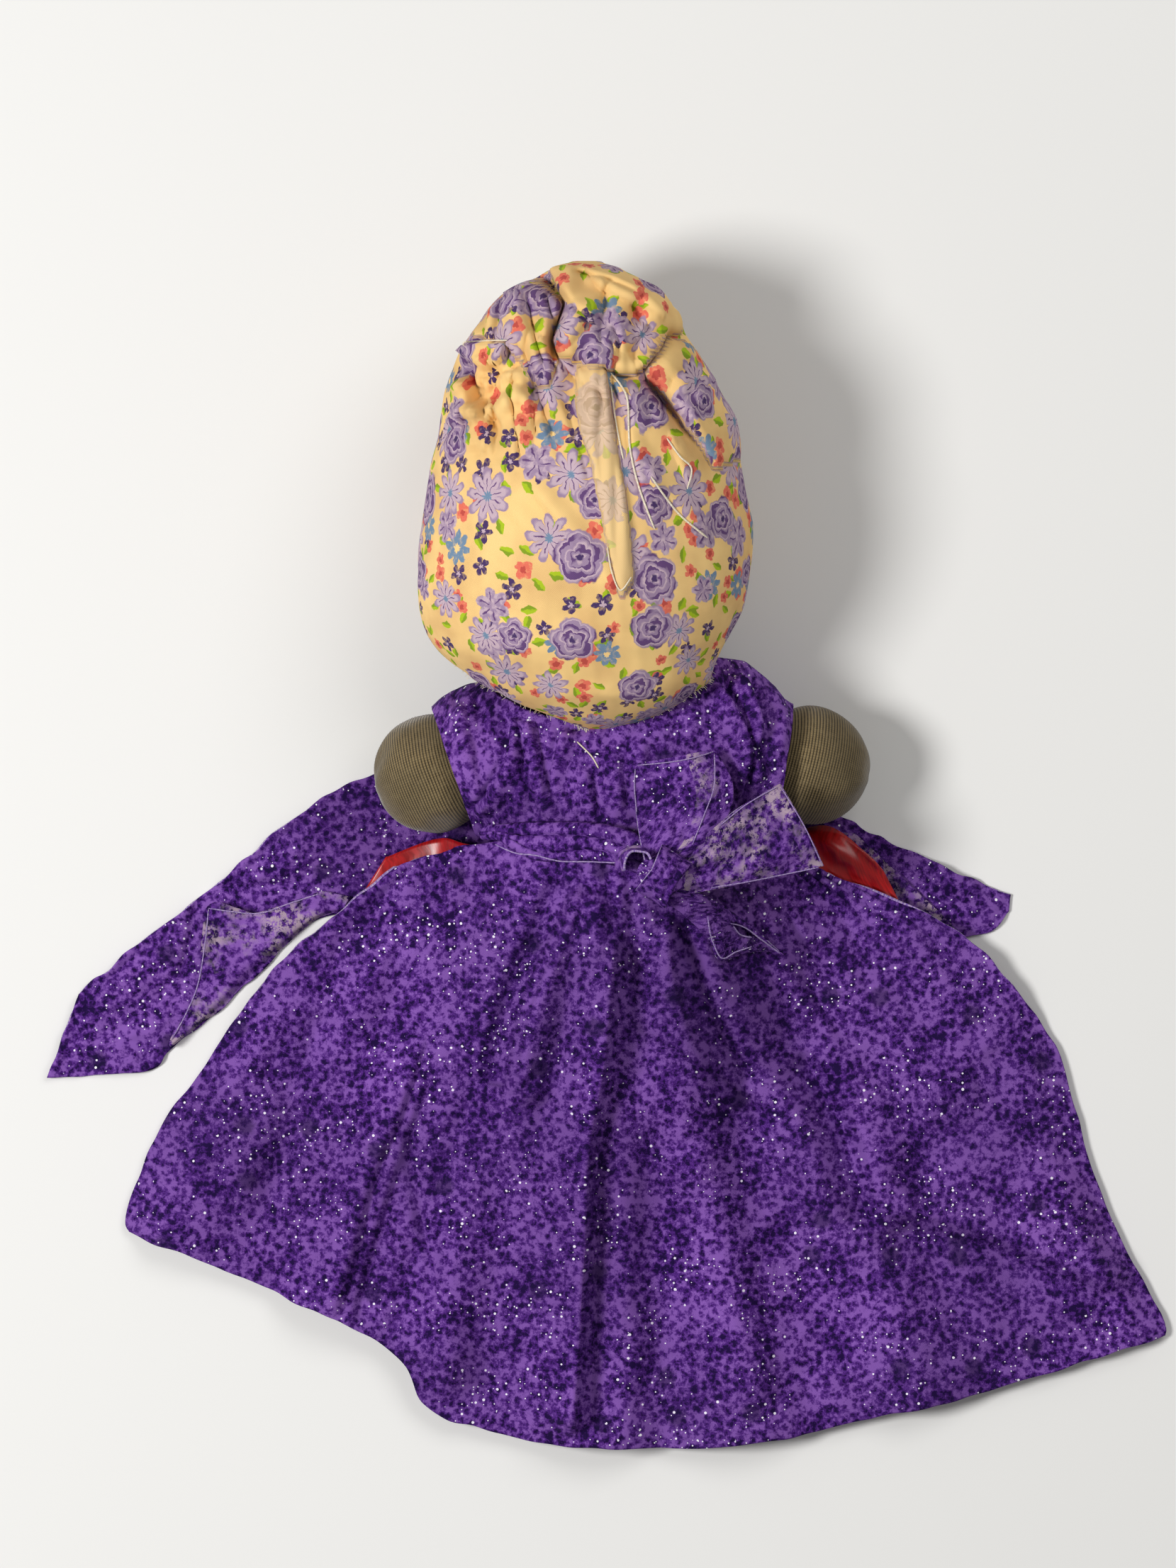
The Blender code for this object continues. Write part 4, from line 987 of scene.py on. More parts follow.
def height_of(places, x, y, choose, missing):
    """The height of another cloth at each place, or the missing value where there is no such cloth."""
    flat = places.reshape(-1, 3)
    tree = KDTree(len(flat))
    for index, point in enumerate(flat):
        tree.insert((point[0], point[1], 0.0), index)
    tree.balance()
    found = np.full(x.size, missing)
    for index, (px, py) in enumerate(zip(x.ravel(), y.ravel())):
        near = tree.find_n((px, py, 0.0), 9)
        if near[0][2] < COVER_REACH:
            found[index] = choose(flat[k][2] for _, k, _ in near)
    return found.reshape(x.shape)


SATIN_PUFF = ((1106, 1172), (1183, 1160), (1262, 1196), (1262, 1260), (1180, 1232))


def make_petticoat(skirt_places):
    """A flattened tube of red satin, puffed out where the skirt's side seam leaves it bare."""
    u, v = squares(170, 44)
    spread = u + 0.20 * np.sin(2 * math.pi * u) / (2 * math.pi)
    plan = coons(PETTICOAT_TOP, PETTICOAT_HEM, PETTICOAT_LEFT, PETTICOAT_RIGHT, spread, v)
    x, y = plan[..., 0], plan[..., 1]
    gathers = 0.00025 * np.cos(2 * math.pi * 26 * u) * smooth(0.04, 0.12, v) * (1 - smooth(0.5, 0.8, v))
    bulge = 0.0052 * patch(x, y, SATIN_PUFF, 7.0) * (1 + 0.30 * np.sin((x * 0.8 + y) * 900))
    low = front_height(x, y) + LAYER_STEP
    ceiling = height_of(skirt_places, x, y, min, 1.0) - CLOTH - GAP
    height = np.clip(petticoat_height(x, y) + gathers + bulge, low + CLOTH, ceiling)
    back = np.stack([x, y, height], axis=-1)
    front = np.stack([x, y, low], axis=-1)
    places = np.concatenate([back, front[:, ::-1]], axis=1)
    made = grid_piece("petticoat_layer", places, measured(closed(places)), [SATIN, SATIN], round_about=True)
    thicken(made, CLOTH * 0.8)
    settle(made, "red_satin", "petticoat")


# The sash's folds, listed like the skirt's, and the part that the folded end covers
SASH_FOLDS = [
    [((540, 1105), (413, 1200), (300, 1290), (170, 1400), (90, 1450)), 1.6, 2.4, 7.0, 9.0],
    [((90, 1440), (150, 1465), (230, 1480)), -1.0, -1.0, 3.0, 4.0],
    [((528, 1092), (413, 1156), (294, 1257), (184, 1340), (111, 1402)), 1.4, 1.8, 3.0, 3.0],
    [((111, 1402), (85, 1460), (69, 1520)), 1.2, 1.8, 4.0, 4.0],
    [((1200, 1190), (1290, 1225), (1390, 1265)), 1.8, 2.2, 5.0, 6.0],
    [((1250, 1200), (1310, 1240), (1380, 1288)), -0.8, -1.0, 3.0, 3.0]]
UNDER_FLAP = ((225, 1490), (270, 1240), (480, 1230), (470, 1330), (240, 1500))
FLAP_EDGES = [((243, 1466), (262, 1432), (280, 1388), (290, 1330), (295, 1281)),
              ((295, 1281), (330, 1286), (368, 1288), (410, 1274), (450, 1261))]


def make_sash():
    """The front sash, its two ends showing as wings."""
    u, v = squares(260, 44)
    plan = edge_wobble(between_lines(SASH_UPPER, SASH_LOWER, u, v), 81, 0.00035)
    x, y = plan[..., 0], plan[..., 1]
    free = smooth(-0.078, -0.098, x) + smooth(0.088, 0.100, x)
    bare = free * (1 - patch(x, y, UNDER_FLAP, 3.0) * 0.9)
    wrinkles = 0.0005 * ripple(x, y, 83, 13) + 0.0003 * ripple(x, y, 84, 5)
    height = CLOTH / 2 + bare * np.maximum(0.0, folds(x, y, SASH_FOLDS) + wrinkles + 0.0006)
    places = np.stack([x, y, height], axis=-1)
    sash = thicken(grid_piece("sash", places, laid_flat(places, 1.3), PURPLE_SIDES), CLOTH * 0.9)
    return settle(sash, "purple_cotton", "front_sash")


def make_sash_flap():
    """The left end of the sash, folded back over itself, its far edge turned up."""
    u, v = squares(90, 60)
    plan = edge_wobble(between_lines(FLAP_FOLD, FLAP_EDGE, u, v), 85, 0.0004)
    x, y = plan[..., 0], plan[..., 1]
    free = smooth(-0.082, -0.098, x)
    swell = np.sin(math.pi * v ** 0.6) * free
    lift = 0.0018 * swell + 0.0008 * np.maximum(0, ripple(x, y, 86, 14)) * smooth(-0.080, -0.094, x)
    lift = lift * smooth(0, 0.15, v) + 0.0015 * smooth(0.5, 1.0, v) * free
    height = CLOTH * 0.9 + LAYER_STEP * smooth(0, 0.2, v) + lift
    places = np.stack([x, y, height], axis=-1)
    flap = thicken(grid_piece("sash_flap", places, laid_flat(places, 2.1), PURPLE_SIDES), CLOTH * 0.9)
    settle(flap, "purple_cotton", "front_sash")
    raw_edges("flap_edge", FLAP_EDGES, 0.00020, places)
    return flap


# The headwrap

# The cap in the photograph: the row, its left edge and its right edge
WRAP_OUTLINE = [
    (378, 828, 836), (383, 800, 848), (390, 782, 862), (400, 767, 886), (409, 752, 902), (415, 730, 915),
    (427, 712, 927), (440, 701, 940), (450, 692, 948), (463, 685, 954), (478, 673, 958), (500, 658, 973),
    (524, 648, 989), (537, 643, 996), (560, 635, 1008), (597, 628, 1030), (620, 624, 1036), (638, 619, 1038),
    (657, 613, 1040), (703, 606, 1048), (744, 600, 1058), (781, 597, 1057), (827, 594, 1051),
    (860, 596, 1045), (882, 601, 1034), (902, 609, 1022), (921, 623, 1012), (940, 645, 1004),
    (967, 691, 996), (992, 724, 967),
    (1012, 779, 926), (1029, 826, 866)]
# The cap's folds, listed like the skirt's
WRAP_FOLDS = [
    [((716, 420), (706, 460), (699, 500)), -3.4, -2.6, 1.6, 1.6, 0.08],
    [((694, 446), (686, 474), (682, 498)), -2.4, -2.0, 1.3, 1.3],
    [((770, 424), (780, 462), (776, 500), (786, 545)), -2.6, -2.0, 1.2, 1.2],
    [((748, 436), (757, 486), (770, 530)), -2.2, -1.6, 1.2, 1.2],
    [((738, 500), (752, 540), (764, 580), (782, 640)), -2.2, -1.2, 1.2, 2.6],
    [((690, 530), (712, 536), (738, 524)), -4.0, -3.0, 1.6, 1.6],
    [((656, 520), (668, 560), (664, 600), (650, 620)), -2.6, -2.0, 1.6, 1.6],
    [((676, 545), (680, 580), (690, 610)), -3.0, -2.0, 1.4, 1.4],
    [((632, 618), (660, 604), (690, 606), (704, 622)), -2.6, -1.8, 1.4, 1.4],
    [((640, 660), (664, 640), (690, 636)), -1.8, -1.2, 1.4, 2.0],
    [((860, 470), (868, 500), (866, 530)), -1.8, -1.4, 1.4, 1.4],
    [((808, 396), (846, 406), (890, 430)), -2.4, -1.6, 1.4, 1.4],
    [((758, 404), (797, 441), (782, 490), (790, 524)), -5.0, -4.0, 2.5, 2.5, 0.05],
    [((820, 398), (836, 400), (880, 420), (915, 450), (935, 474)), 1.8, 1.4, 5.0, 2.0],
    [((850, 430), (846, 470), (852, 520)), -1.2, -1.0, 3.0, 3.0],
    [((895, 440), (890, 490), (880, 530)), -1.4, -1.0, 3.0, 3.0],
    [((726, 440), (735, 490), (748, 540)), -1.6, -1.6, 2.0, 4.0],
    [((705, 470), (700, 500)), 1.2, 1.0, 3.0, 3.0],
    [((907, 532), (925, 560), (953, 597), (975, 634), (999, 672)), -4.2, -3.0, 4.0, 1.2],
    [((925, 520), (950, 545), (975, 590)), 1.6, 1.2, 3.0, 5.0],
    [((955, 560), (985, 600), (1008, 640)), -1.5, -1.0, 2.5, 3.0],
    [((657, 500), (690, 499), (719, 500)), 2.0, 1.6, 2.0, 1.0, 0.04],
    [((657, 500), (672, 520), (700, 524), (719, 505)), 2.2, 1.8, 1.0, 2.0, 0.04],
    [((700, 526), (716, 540), (738, 548), (752, 560)), 2.4, 1.2, 1.0, 3.0],
    [((640, 556), (668, 560), (694, 580), (712, 606)), 2.2, 1.4, 1.0, 3.5],
    [((632, 586), (662, 590), (684, 604), (700, 630)), 1.8, 1.2, 1.0, 3.5],
    [((628, 622), (660, 618), (690, 620), (720, 640)), 1.4, 0.8, 1.0, 4.0],
    [((660, 540), (676, 572), (690, 600)), -2.4, -1.8, 2.0, 2.0],
    [((690, 600), (694, 630), (700, 660)), -1.4, -0.8, 1.5, 1.5],
    [((720, 550), (726, 590), (724, 640)), -1.0, -0.6, 2.0, 2.0],
    [((788, 574), (800, 610), (815, 657), (828, 700)), 1.6, 1.0, 5.0, 0.9],
    [((752, 560), (770, 620), (790, 680)), 1.2, 0.6, 5.0, 1.2],
    [((745, 690), (797, 753), (838, 799), (868, 850)), 2.0, 1.4, 0.8, 6.0],
    [((669, 706), (724, 735), (768, 778)), 1.6, 1.0, 0.8, 6.0],
    [((861, 542), (884, 590), (890, 640), (905, 700), (922, 758)), 2.2, 1.6, 0.9, 7.0],
    [((905, 662), (925, 700), (955, 730), (996, 772)), 2.0, 1.4, 0.9, 7.0],
    [((939, 620), (955, 660), (972, 700)), 1.6, 1.0, 0.9, 6.0],
    [((606, 750), (640, 746), (690, 752)), 1.0, 0.6, 0.9, 4.0],
    [((604, 800), (620, 860), (650, 900)), 0.6, 0.5, 3.0, 3.0],
    [((612, 690), (650, 684), (690, 700)), 1.0, 0.6, 0.9, 4.0],
    [((700, 800), (760, 830), (820, 860)), 0.5, 0.4, 4.0, 6.0],
]
# Raised parts of the cap: the hanging strip, the middle, both sides and the fold at the left
WRAP_STRIP = ((815, 530), (814, 579), (820, 620), (834, 661), (846, 720), (857, 781), (868, 830), (875, 850),
              (885, 838), (892, 822), (889, 799), (884, 740), (878, 698), (868, 640), (861, 597), (853, 533))
WRAP_PANEL = ((770, 372), (797, 441), (779, 492), (790, 519), (815, 522), (832, 533), (852, 532), (875, 542),
              (893, 541), (910, 527), (928, 503), (938, 484), (956, 482), (970, 452), (930, 400), (850, 366))
WRAP_LEFT = ((735, 398), (758, 404), (794, 441), (778, 492), (788, 524), (774, 562), (752, 552), (735, 520),
             (715, 500), (700, 492), (660, 480), (660, 440), (700, 410))
WRAP_RIGHT = ((940, 488), (968, 494), (1010, 524), (1040, 580), (1062, 622), (1044, 652), (1003, 672),
              (985, 640), (962, 608), (940, 574), (912, 548), (910, 532), (926, 510))
WRAP_EAR = ((652, 500), (672, 494), (700, 494), (724, 499), (716, 514), (702, 528), (680, 524), (664, 514))
# Smaller raised or sunk parts: the outline, the lift, and the edge in mm
WRAP_LOBES = [
    (((664, 530), (690, 534), (712, 540), (706, 566), (690, 588), (672, 576), (660, 552)), -0.0040, 2.5),
    (((636, 566), (656, 548), (672, 584), (690, 596), (704, 628), (694, 652), (664, 640), (640, 606)),
     0.0030, 3.0),
    (((700, 566), (716, 548), (744, 556), (758, 590), (752, 640), (728, 664), (712, 624)), 0.0026, 4.0),
    (((690, 596), (704, 590), (712, 612), (716, 650), (704, 664), (696, 634)), -0.0030, 1.6),
    (((720, 420), (744, 424), (752, 470), (742, 505), (724, 488), (714, 452)), 0.0022, 4.0),
    (((826, 392), (880, 404), (930, 440), (924, 462), (880, 440), (840, 420)), 0.0024, 3.0),
    (((800, 440), (846, 436), (842, 500), (800, 506), (790, 480)), 0.0018, 4.0),
    (((905, 470), (925, 480), (915, 510), (890, 528), (880, 510)), -0.0026, 2.5),
    (((860, 545), (890, 548), (912, 560), (940, 600), (950, 640), (920, 640), (890, 610)), 0.0016, 5.0)]
# Turned edges that show as thin lines: the line and its radius
WRAP_EDGES = [
    (((861, 540), (874, 556), (884, 580), (887, 643), (900, 700), (921, 756)), 0.00030),
    (((916, 684), (936, 712), (958, 738), (994, 767)), 0.00030),
    (((938, 630), (956, 655), (972, 672), (966, 700)), 0.00026),
    (((861, 558), (868, 610), (878, 660)), 0.00028),
    (((856, 781), (862, 815), (874, 840), (889, 822)), 0.00024),
    (((657, 500), (660, 494), (690, 492), (718, 494)), 0.00024)]
WRAP_GATHERED = ((626, 500), (700, 500), (770, 560), (790, 620), (740, 690), (612, 650))
# Each folded part shows another part of the print
PRINT_SHIFTS = [(WRAP_PANEL, (0.083, 0.021)), (WRAP_LEFT, (0.231, 0.047)), (WRAP_RIGHT, (0.317, 0.009)),
                (WRAP_STRIP, (0.155, 0.064))]
WRAP_CLEARANCE = 0.0016
WRAP_TIP_Y = 0.1727
WRAP_ROUND = 0.905
CROWN_ROUND = 0.80
BACK_SIDES = 214
FACE_SIDES = 86
# The openings at the nape (a corner's y and z, and its tilt) and at the face
NAPE_CORNER = (0.0450, 0.0530)
NAPE_TILT = math.atan(0.50)
FACE_Y = 0.074
FACE_RADIUS = 0.030
FACE_Z = 0.027


def wrap_depth(y, width):
    """The cap's half height from its half width: nearly round, flatter over the crown."""
    crown = smooth(0.105, 0.150, y)
    return width * (WRAP_ROUND * (1 - crown) + CROWN_ROUND * crown)


def wrap_cloth(places):
    """Print coordinates that keep the flowers round all over the back of the head."""
    middle = np.clip(places[..., 1], 0.084, 0.150)
    away = places - np.stack([np.full(middle.shape, HEAD_X), middle, np.full(middle.shape, HEAD_Z)], axis=-1)
    reach = np.linalg.norm(away, axis=-1)
    slant = np.arccos(np.clip(away[..., 2] / np.maximum(reach, 1e-6), -1, 1))
    across = np.maximum(np.hypot(away[..., 0], away[..., 1]), 1e-6)
    scale = slant * reach / across
    return np.stack([HEAD_X + away[..., 0] * scale, middle + away[..., 1] * scale], axis=-1)


def even_turns():
    """Angles round a ring, closer together over the back of the head than at the face."""
    behind = np.linspace(0, math.pi, BACK_SIDES, endpoint=False)
    ahead = np.linspace(math.pi, 2 * math.pi, FACE_SIDES, endpoint=False)
    return np.concatenate([behind, ahead])


def wrap_outline(y):
    """The cap's left and right edges seen from above, never inside the stuffed head."""
    table = np.array(WRAP_OUTLINE, float)
    rows = (ORIGIN_PIXEL[1] - table[:, 0]) / PIXELS_PER_METRE
    order = np.argsort(rows)
    sides = []
    for place in (1, 2):
        edge = (table[:, place] - ORIGIN_PIXEL[0]) / PIXELS_PER_METRE
        spread = [np.interp(y + shift, rows[order], edge[order]) for shift in np.linspace(-0.0016, 0.0016, 7)]
        sides.append(np.mean(spread, axis=0))
    share = np.sqrt(np.clip(1 - ((y - HEAD_Y) / HEAD_HALF[1]) ** 2, 0, 1))
    head = HEAD_HALF[0] * share + WRAP_CLEARANCE * (share > 0)
    left = np.where(share > 0, np.minimum(sides[0], HEAD_X - head), sides[0])
    right = np.where(share > 0, np.maximum(sides[1], HEAD_X + head), sides[1])
    return left, right


def wrap_relief(x, y, crown):
    """How far the cap's back stands off its smooth form."""
    lift = folds(x, y, WRAP_FOLDS)
    lift += 0.0052 * puff(x, y, WRAP_PANEL, 3.0) + 0.0036 * puff(x, y, WRAP_LEFT, 4.0)
    lift += 0.0050 * puff(x, y, WRAP_RIGHT, 4.0)
    strip = patch(x, y, WRAP_STRIP, 0.8)
    lift += 0.0019 * strip + 0.0004 * strip * np.sin((x + 0.004) * 1400)
    lift += 0.0034 * puff(x, y, WRAP_EAR, 1.2)
    for outline, rise, edge in WRAP_LOBES:
        lift += rise * puff(x, y, outline, edge)
    gathered = patch(x, y, WRAP_GATHERED, 6.0)
    lift += gathered * (0.0013 * ripple(x, y, 91, 6) - 0.0024 * creases(x, y, 92, 12, 4.0))
    lift += crown * (0.0009 * ripple(x, y, 93, 11) - 0.0013 * creases(x, y, 94, 18, 4.0))
    lift += (0.00022 * ripple(x, y, 95, 16) + 0.00012 * ripple(x, y, 96, 6)) * (1 - crown)
    return np.maximum(lift * (1 + 0.45 * crown), -0.0010 * (1 - crown) - 0.010 * crown)


def wrap_places(turn, rows=150):
    """The cap's rings from the nape to the tip of the crown, with their folds and gathers."""
    y = 0.1034 + 0.0689 * np.cos(np.pi * (1 - np.linspace(0, 1, rows)))
    left, right = wrap_outline(y)
    depth = wrap_depth(y, column(WRAP_WIDTHS, y, 1))
    tip = np.sqrt(np.clip((WRAP_TIP_Y - y) / 0.004, 0, 1))
    depth = np.where(y < 0.150, depth, np.minimum(depth, 0.0310 * tip))
    middle = (left + right) / 2
    half = (right - left) / 2
    side = np.cos(turn)[None, :]
    x = middle[:, None] + half[:, None] * side
    z = HEAD_Z + depth[:, None] * np.sin(turn)[None, :]
    y = np.repeat(y[:, None], len(turn), axis=1)
    behind = smooth(-0.05, 0.28, np.sin(turn))[None, :]
    crown = smooth(0.116, 0.134, y)
    lift = wrap_relief(x, y, crown) * behind * smooth(WRAP_TIP_Y, 0.1700, y)
    front_gathers = (1 - behind) * crown * 0.0008 * np.cos(14 * turn)[None, :]
    x = x + (0.30 * lift + front_gathers) * side
    z = z + lift * np.abs(np.sin(turn))[None, :] ** 0.5 + front_gathers * np.sin(turn)[None, :]
    return np.stack([x, y, np.maximum(z, CLOTH / 2)], axis=-1)


def make_headwrap():
    """A cap of floral cloth gathered over the crown, with its tail folded down the back."""
    turn = even_turns()
    places = wrap_places(turn)
    whole = closed(places)
    x, y = whole[..., 0], whole[..., 1]
    cloth = wrap_cloth(whole)
    seen = np.append(np.sin(turn), np.sin(turn[0])) > 0.05
    for outline, shift in PRINT_SHIFTS:
        chosen = inside(photo(outline), x, y) & seen
        cloth = cloth + np.where(chosen[..., None], np.array(shift), 0.0)
    wrong_side_out = inside(photo(WRAP_STRIP), x, y) & seen
    made = grid_piece("headwrap_cloth", places, cloth, [FLORAL, FLORAL_WRONG, FLORAL_WRONG, THREAD],
                      round_about=True, kinds=wrong_side_out[:-1, :-1])
    cap_ends(made)
    open_wrap(made)
    thicken(made, CLOTH)
    for number, (line, radius) in enumerate(WRAP_EDGES):
        cord(f"wrap_edge_{number}", line, radius, places[:, :BACK_SIDES], "floral_cotton")
    fray_hem(made)
    return settle(made, "floral_cotton", "headwrap")


def fray_hem(piece):
    """Short loose fibres along the cap's raw hem."""
    form = bmesh.new()
    form.from_mesh(piece.data)
    hem = [vertex.co.copy() for vertex in form.verts if vertex.is_boundary and vertex.co.z > 0.034]
    form.free()
    chance = np.random.default_rng(97)
    starts = [np.array(hem[k]) for k in chance.choice(len(hem), 170)]
    ways = [start - np.array((HEAD_X, 0.068, 0.040)) + chance.normal(0, 0.014, 3) for start in starts]
    lengths = chance.uniform(0.0006, 0.0021, len(starts))
    settle(fibres("wrap_hem_fray", starts, ways, lengths, 0.00009, 98, 0.05), "floral_cotton")


def cord(name, pixels, radius, surface, slot_name, look=THREAD):
    """A fold's turned edge or a loose thread: a thin cord of fibre that lies along a line of a cloth."""
    line = through(photo(pixels), np.linspace(0, 1, 12 * len(pixels)))
    flat = surface.reshape(-1, 3)
    heights = []
    for x, y in line:
        away = np.hypot(flat[:, 0] - x, flat[:, 1] - y)
        heights.append(flat[away < max(0.0012, away.min() + 0.0002), 2].max())
    heights = np.convolve(np.pad(heights, 2, mode="edge"), np.ones(5) / 5, mode="valid")
    middle = np.column_stack([line, heights + CLOTH / 2 + radius * 0.3])
    along = np.gradient(middle, axis=0)
    aside = np.column_stack([-along[:, 1], along[:, 0], np.zeros(len(line))])
    aside = aside / np.linalg.norm(aside, axis=1, keepdims=True)
    thin = radius * np.sqrt(np.clip(np.sin(math.pi * np.linspace(0.02, 0.98, len(line))) * 3, 0, 1))
    places = tube(middle, thin, 6, aside, (0, 0, 1.0))
    cloth = np.stack(np.meshgrid(np.linspace(0, 0.002, 7), np.linspace(0, 0.03, len(line))), axis=-1)
    made = grid_piece(name, places, cloth, [look], round_about=True)
    settle(made, slot_name)


def raw_edges(name, lines, radius, surface):
    """The turned, frayed edges of a piece of the purple cotton."""
    for number, line in enumerate(lines):
        cord(f"{name}_{number}", line, radius, surface, "purple_cotton", RAW_EDGE)


def open_wrap(piece):
    """Cuts the nape and the face out of the cap."""
    ahead = Vector((0, math.cos(NAPE_TILT), math.sin(NAPE_TILT)))
    above = Vector((0, -math.sin(NAPE_TILT), math.cos(NAPE_TILT)))
    corner = Vector((HEAD_X, *NAPE_CORNER))
    with editing(piece.data) as form:
        cut(form, corner, ahead)
        cut(form, corner, above)
        gone = []
        for face in form.faces:
            middle = face.calc_center_median()
            under_nape = (middle - corner).dot(ahead) < 0 and (middle - corner).dot(above) < 0
            at_face = math.hypot(middle.x - HEAD_X, middle.y - FACE_Y) < FACE_RADIUS and middle.z < FACE_Z
            if under_nape or at_face:
                gone.append(face)
        bmesh.ops.delete(form, geom=gone, context="FACES")


# The dress top

# The dress top's pleats, listed like the skirt's folds
BODICE_FOLDS = [
    [((722, 985), (724, 1055), (700, 1112), (669, 1150)), 2.6, 2.2, 1.0, 6.0],
    [((716, 985), (717, 1055), (693, 1110), (663, 1146)), -1.8, -1.8, 2.2, 1.4],
    [((749, 1005), (765, 1104), (798, 1168)), 2.6, 2.2, 5.0, 1.0],
    [((757, 1005), (772, 1100), (804, 1164)), -1.8, -1.8, 1.4, 2.2],
    [((800, 1022), (781, 1092), (785, 1129), (814, 1172)), 2.2, 1.8, 1.0, 5.0],
    [((794, 1022), (775, 1092), (778, 1129), (806, 1174)), -1.8, -1.6, 2.0, 1.4],
    [((735, 1010), (742, 1090), (762, 1164)), -1.8, -1.6, 2.0, 2.0],
    [((838, 1090), (842, 1125), (859, 1165)), -1.8, -1.8, 2.0, 2.0],
    [((826, 1080), (832, 1130), (842, 1165)), 1.8, 1.8, 4.0, 1.4],
    [((865, 1060), (868, 1110), (880, 1160)), 1.4, 1.6, 4.0, 3.0],
    [((648, 990), (658, 1040), (668, 1090), (682, 1145)), 1.6, 1.4, 5.0, 2.4],
    [((676, 980), (682, 1040), (676, 1090)), -1.6, -1.3, 2.4, 2.4],
    [((1038, 950), (1067, 1022), (1063, 1071), (1083, 1100)), 2.8, 2.0, 5.0, 1.0],
    [((1045, 948), (1074, 1020), (1070, 1071), (1089, 1096)), -1.8, -1.6, 1.4, 2.4],
    [((1002, 965), (1042, 1018), (1051, 1075), (1034, 1129)), 2.4, 1.8, 5.0, 1.0],
    [((1009, 962), (1049, 1016), (1058, 1075), (1042, 1128)), -1.8, -1.3, 1.2, 2.0],
    [((1080, 965), (1098, 1010), (1098, 1060)), 1.4, 1.2, 3.0, 3.0],
    [((900, 1040), (905, 1100), (900, 1160)), 1.0, 1.0, 4.0, 3.0],
]

LOOSE_THREAD = ((814, 1047), (834, 1067), (844, 1084))
BODICE_START_Y = -0.0110
WRAP_MARGIN = 0.0018
NECK_MARGIN = 0.0014

# The planes that trim the dress top at the waist and at each sleeve: a place and the way off the cloth
BODICE_CUTS = [(Vector((0, -0.0048, 0)), Vector((0, -1, 0))),
               (Vector((-0.0500, 0.0260, 0)), Vector((-0.945, -0.327, 0))),
               (Vector((0.0510, 0.0300, 0)), Vector((0.992, -0.126, 0)))]

# Each sleeve's rings: how far out, its upper and its lower edge seen from above
SLEEVES = {"left": [(-0.0160, 0.0490, 0.0000), (-0.0300, 0.0488, 0.0000), (-0.0380, 0.0482, 0.0020),
                    (-0.0440, 0.0474, 0.0030), (-0.0490, 0.0456, 0.0020), (-0.0525, 0.0434, 0.0014),
                    (-0.0560, 0.0398, 0.0010), (-0.0600, 0.0350, 0.0010)],
           "right": [(0.0160, 0.0560, 0.0000), (0.0300, 0.0556, 0.0010), (0.0380, 0.0545, 0.0030),
                     (0.0440, 0.0494, 0.0040), (0.0490, 0.0440, 0.0042), (0.0525, 0.0414, 0.0040),
                     (0.0560, 0.0412, 0.0038), (0.0610, 0.0412, 0.0038)]}


def shell(name, rings):
    """A closed lofted form that the remesh can join with others."""
    form = bmesh.new()
    rows = [[form.verts.new(point) for point in ring] for ring in rings]
    count = len(rows[0])
    for a, b in zip(rows, rows[1:]):
        for i in range(count):
            form.faces.new((a[i], a[(i + 1) % count], b[(i + 1) % count], b[i]))
    form.faces.new(rows[0])
    form.faces.new(rows[-1][::-1])
    bmesh.ops.recalc_face_normals(form, faces=form.faces)
    mesh = bpy.data.meshes.new(name)
    form.to_mesh(mesh)
    form.free()
    return mesh


def torso_rings(turn):
    """Rings of the dress top round the torso, from below the waist up to the nape."""
    sections = [(BODICE_START_Y, *BODICE_SECTIONS[0][1:])] + BODICE_SECTIONS
    return [[(x + width * math.cos(a), y, z + depth * math.sin(a)) for a in turn]
            for y, width, depth, x, z in sections]


def sleeve_rings(side, turn):
    """Rings of one cap sleeve, from inside the torso's cloth out to its opening."""
    table = SLEEVES[side]
    rings = []
    for share, (out, top, low) in zip(np.linspace(0, 1, len(table)), table):
        middle, along = (top + low) / 2, (top - low) / 2
        z = ARMS[side][1].z + 0.0065 * (1 - share)
        high = 0.0200 + 0.0008 * (1 - share)
        rings.append([(out, middle + along * math.cos(a), max(CLOTH * 1.6, z + high * math.sin(a)))
                      for a in turn])
    return rings


def make_bodice():
    """A tube round the torso with two cap sleeves, blended into one cloth."""
    turn = turns(48)
    meshes = [shell("torso_form", torso_rings(turn))]
    meshes += [shell(side + "_sleeve_form", sleeve_rings(side, turn)) for side in SLEEVES]
    joined = bpy.data.meshes.new("bodice_cloth")
    with editing(joined) as form:
        for mesh in meshes:
            form.from_mesh(mesh)
    made = show("bodice_cloth", joined)
    blend = made.modifiers.new("blend", "REMESH")
    blend.mode = "VOXEL"
    blend.voxel_size = 0.00075
    soften = made.modifiers.new("soften", "SMOOTH")
    soften.factor = 0.5
    soften.iterations = 12
    graph = bpy.context.evaluated_depsgraph_get()
    mesh = bpy.data.meshes.new_from_object(made.evaluated_get(graph))
    made.modifiers.clear()
    made.data = mesh
    cut_bodice(made)
    dress_bodice(made)
    thicken(made, CLOTH)
    settle(made, "purple_cotton", "bodice")
    surface = np.array([vertex.co for vertex in made.data.vertices])
    cord("bodice_loose_thread", LOOSE_THREAD, 0.00022, surface, "thread")
    return made


def from_nape(y, z):
    """How far a place is ahead of the nape's opening and how far above it."""
    cosine, sine = math.cos(NAPE_TILT), math.sin(NAPE_TILT)
    back, up = y - NAPE_CORNER[0], z - NAPE_CORNER[1]
    return back * cosine + up * sine, up * cosine - back * sine


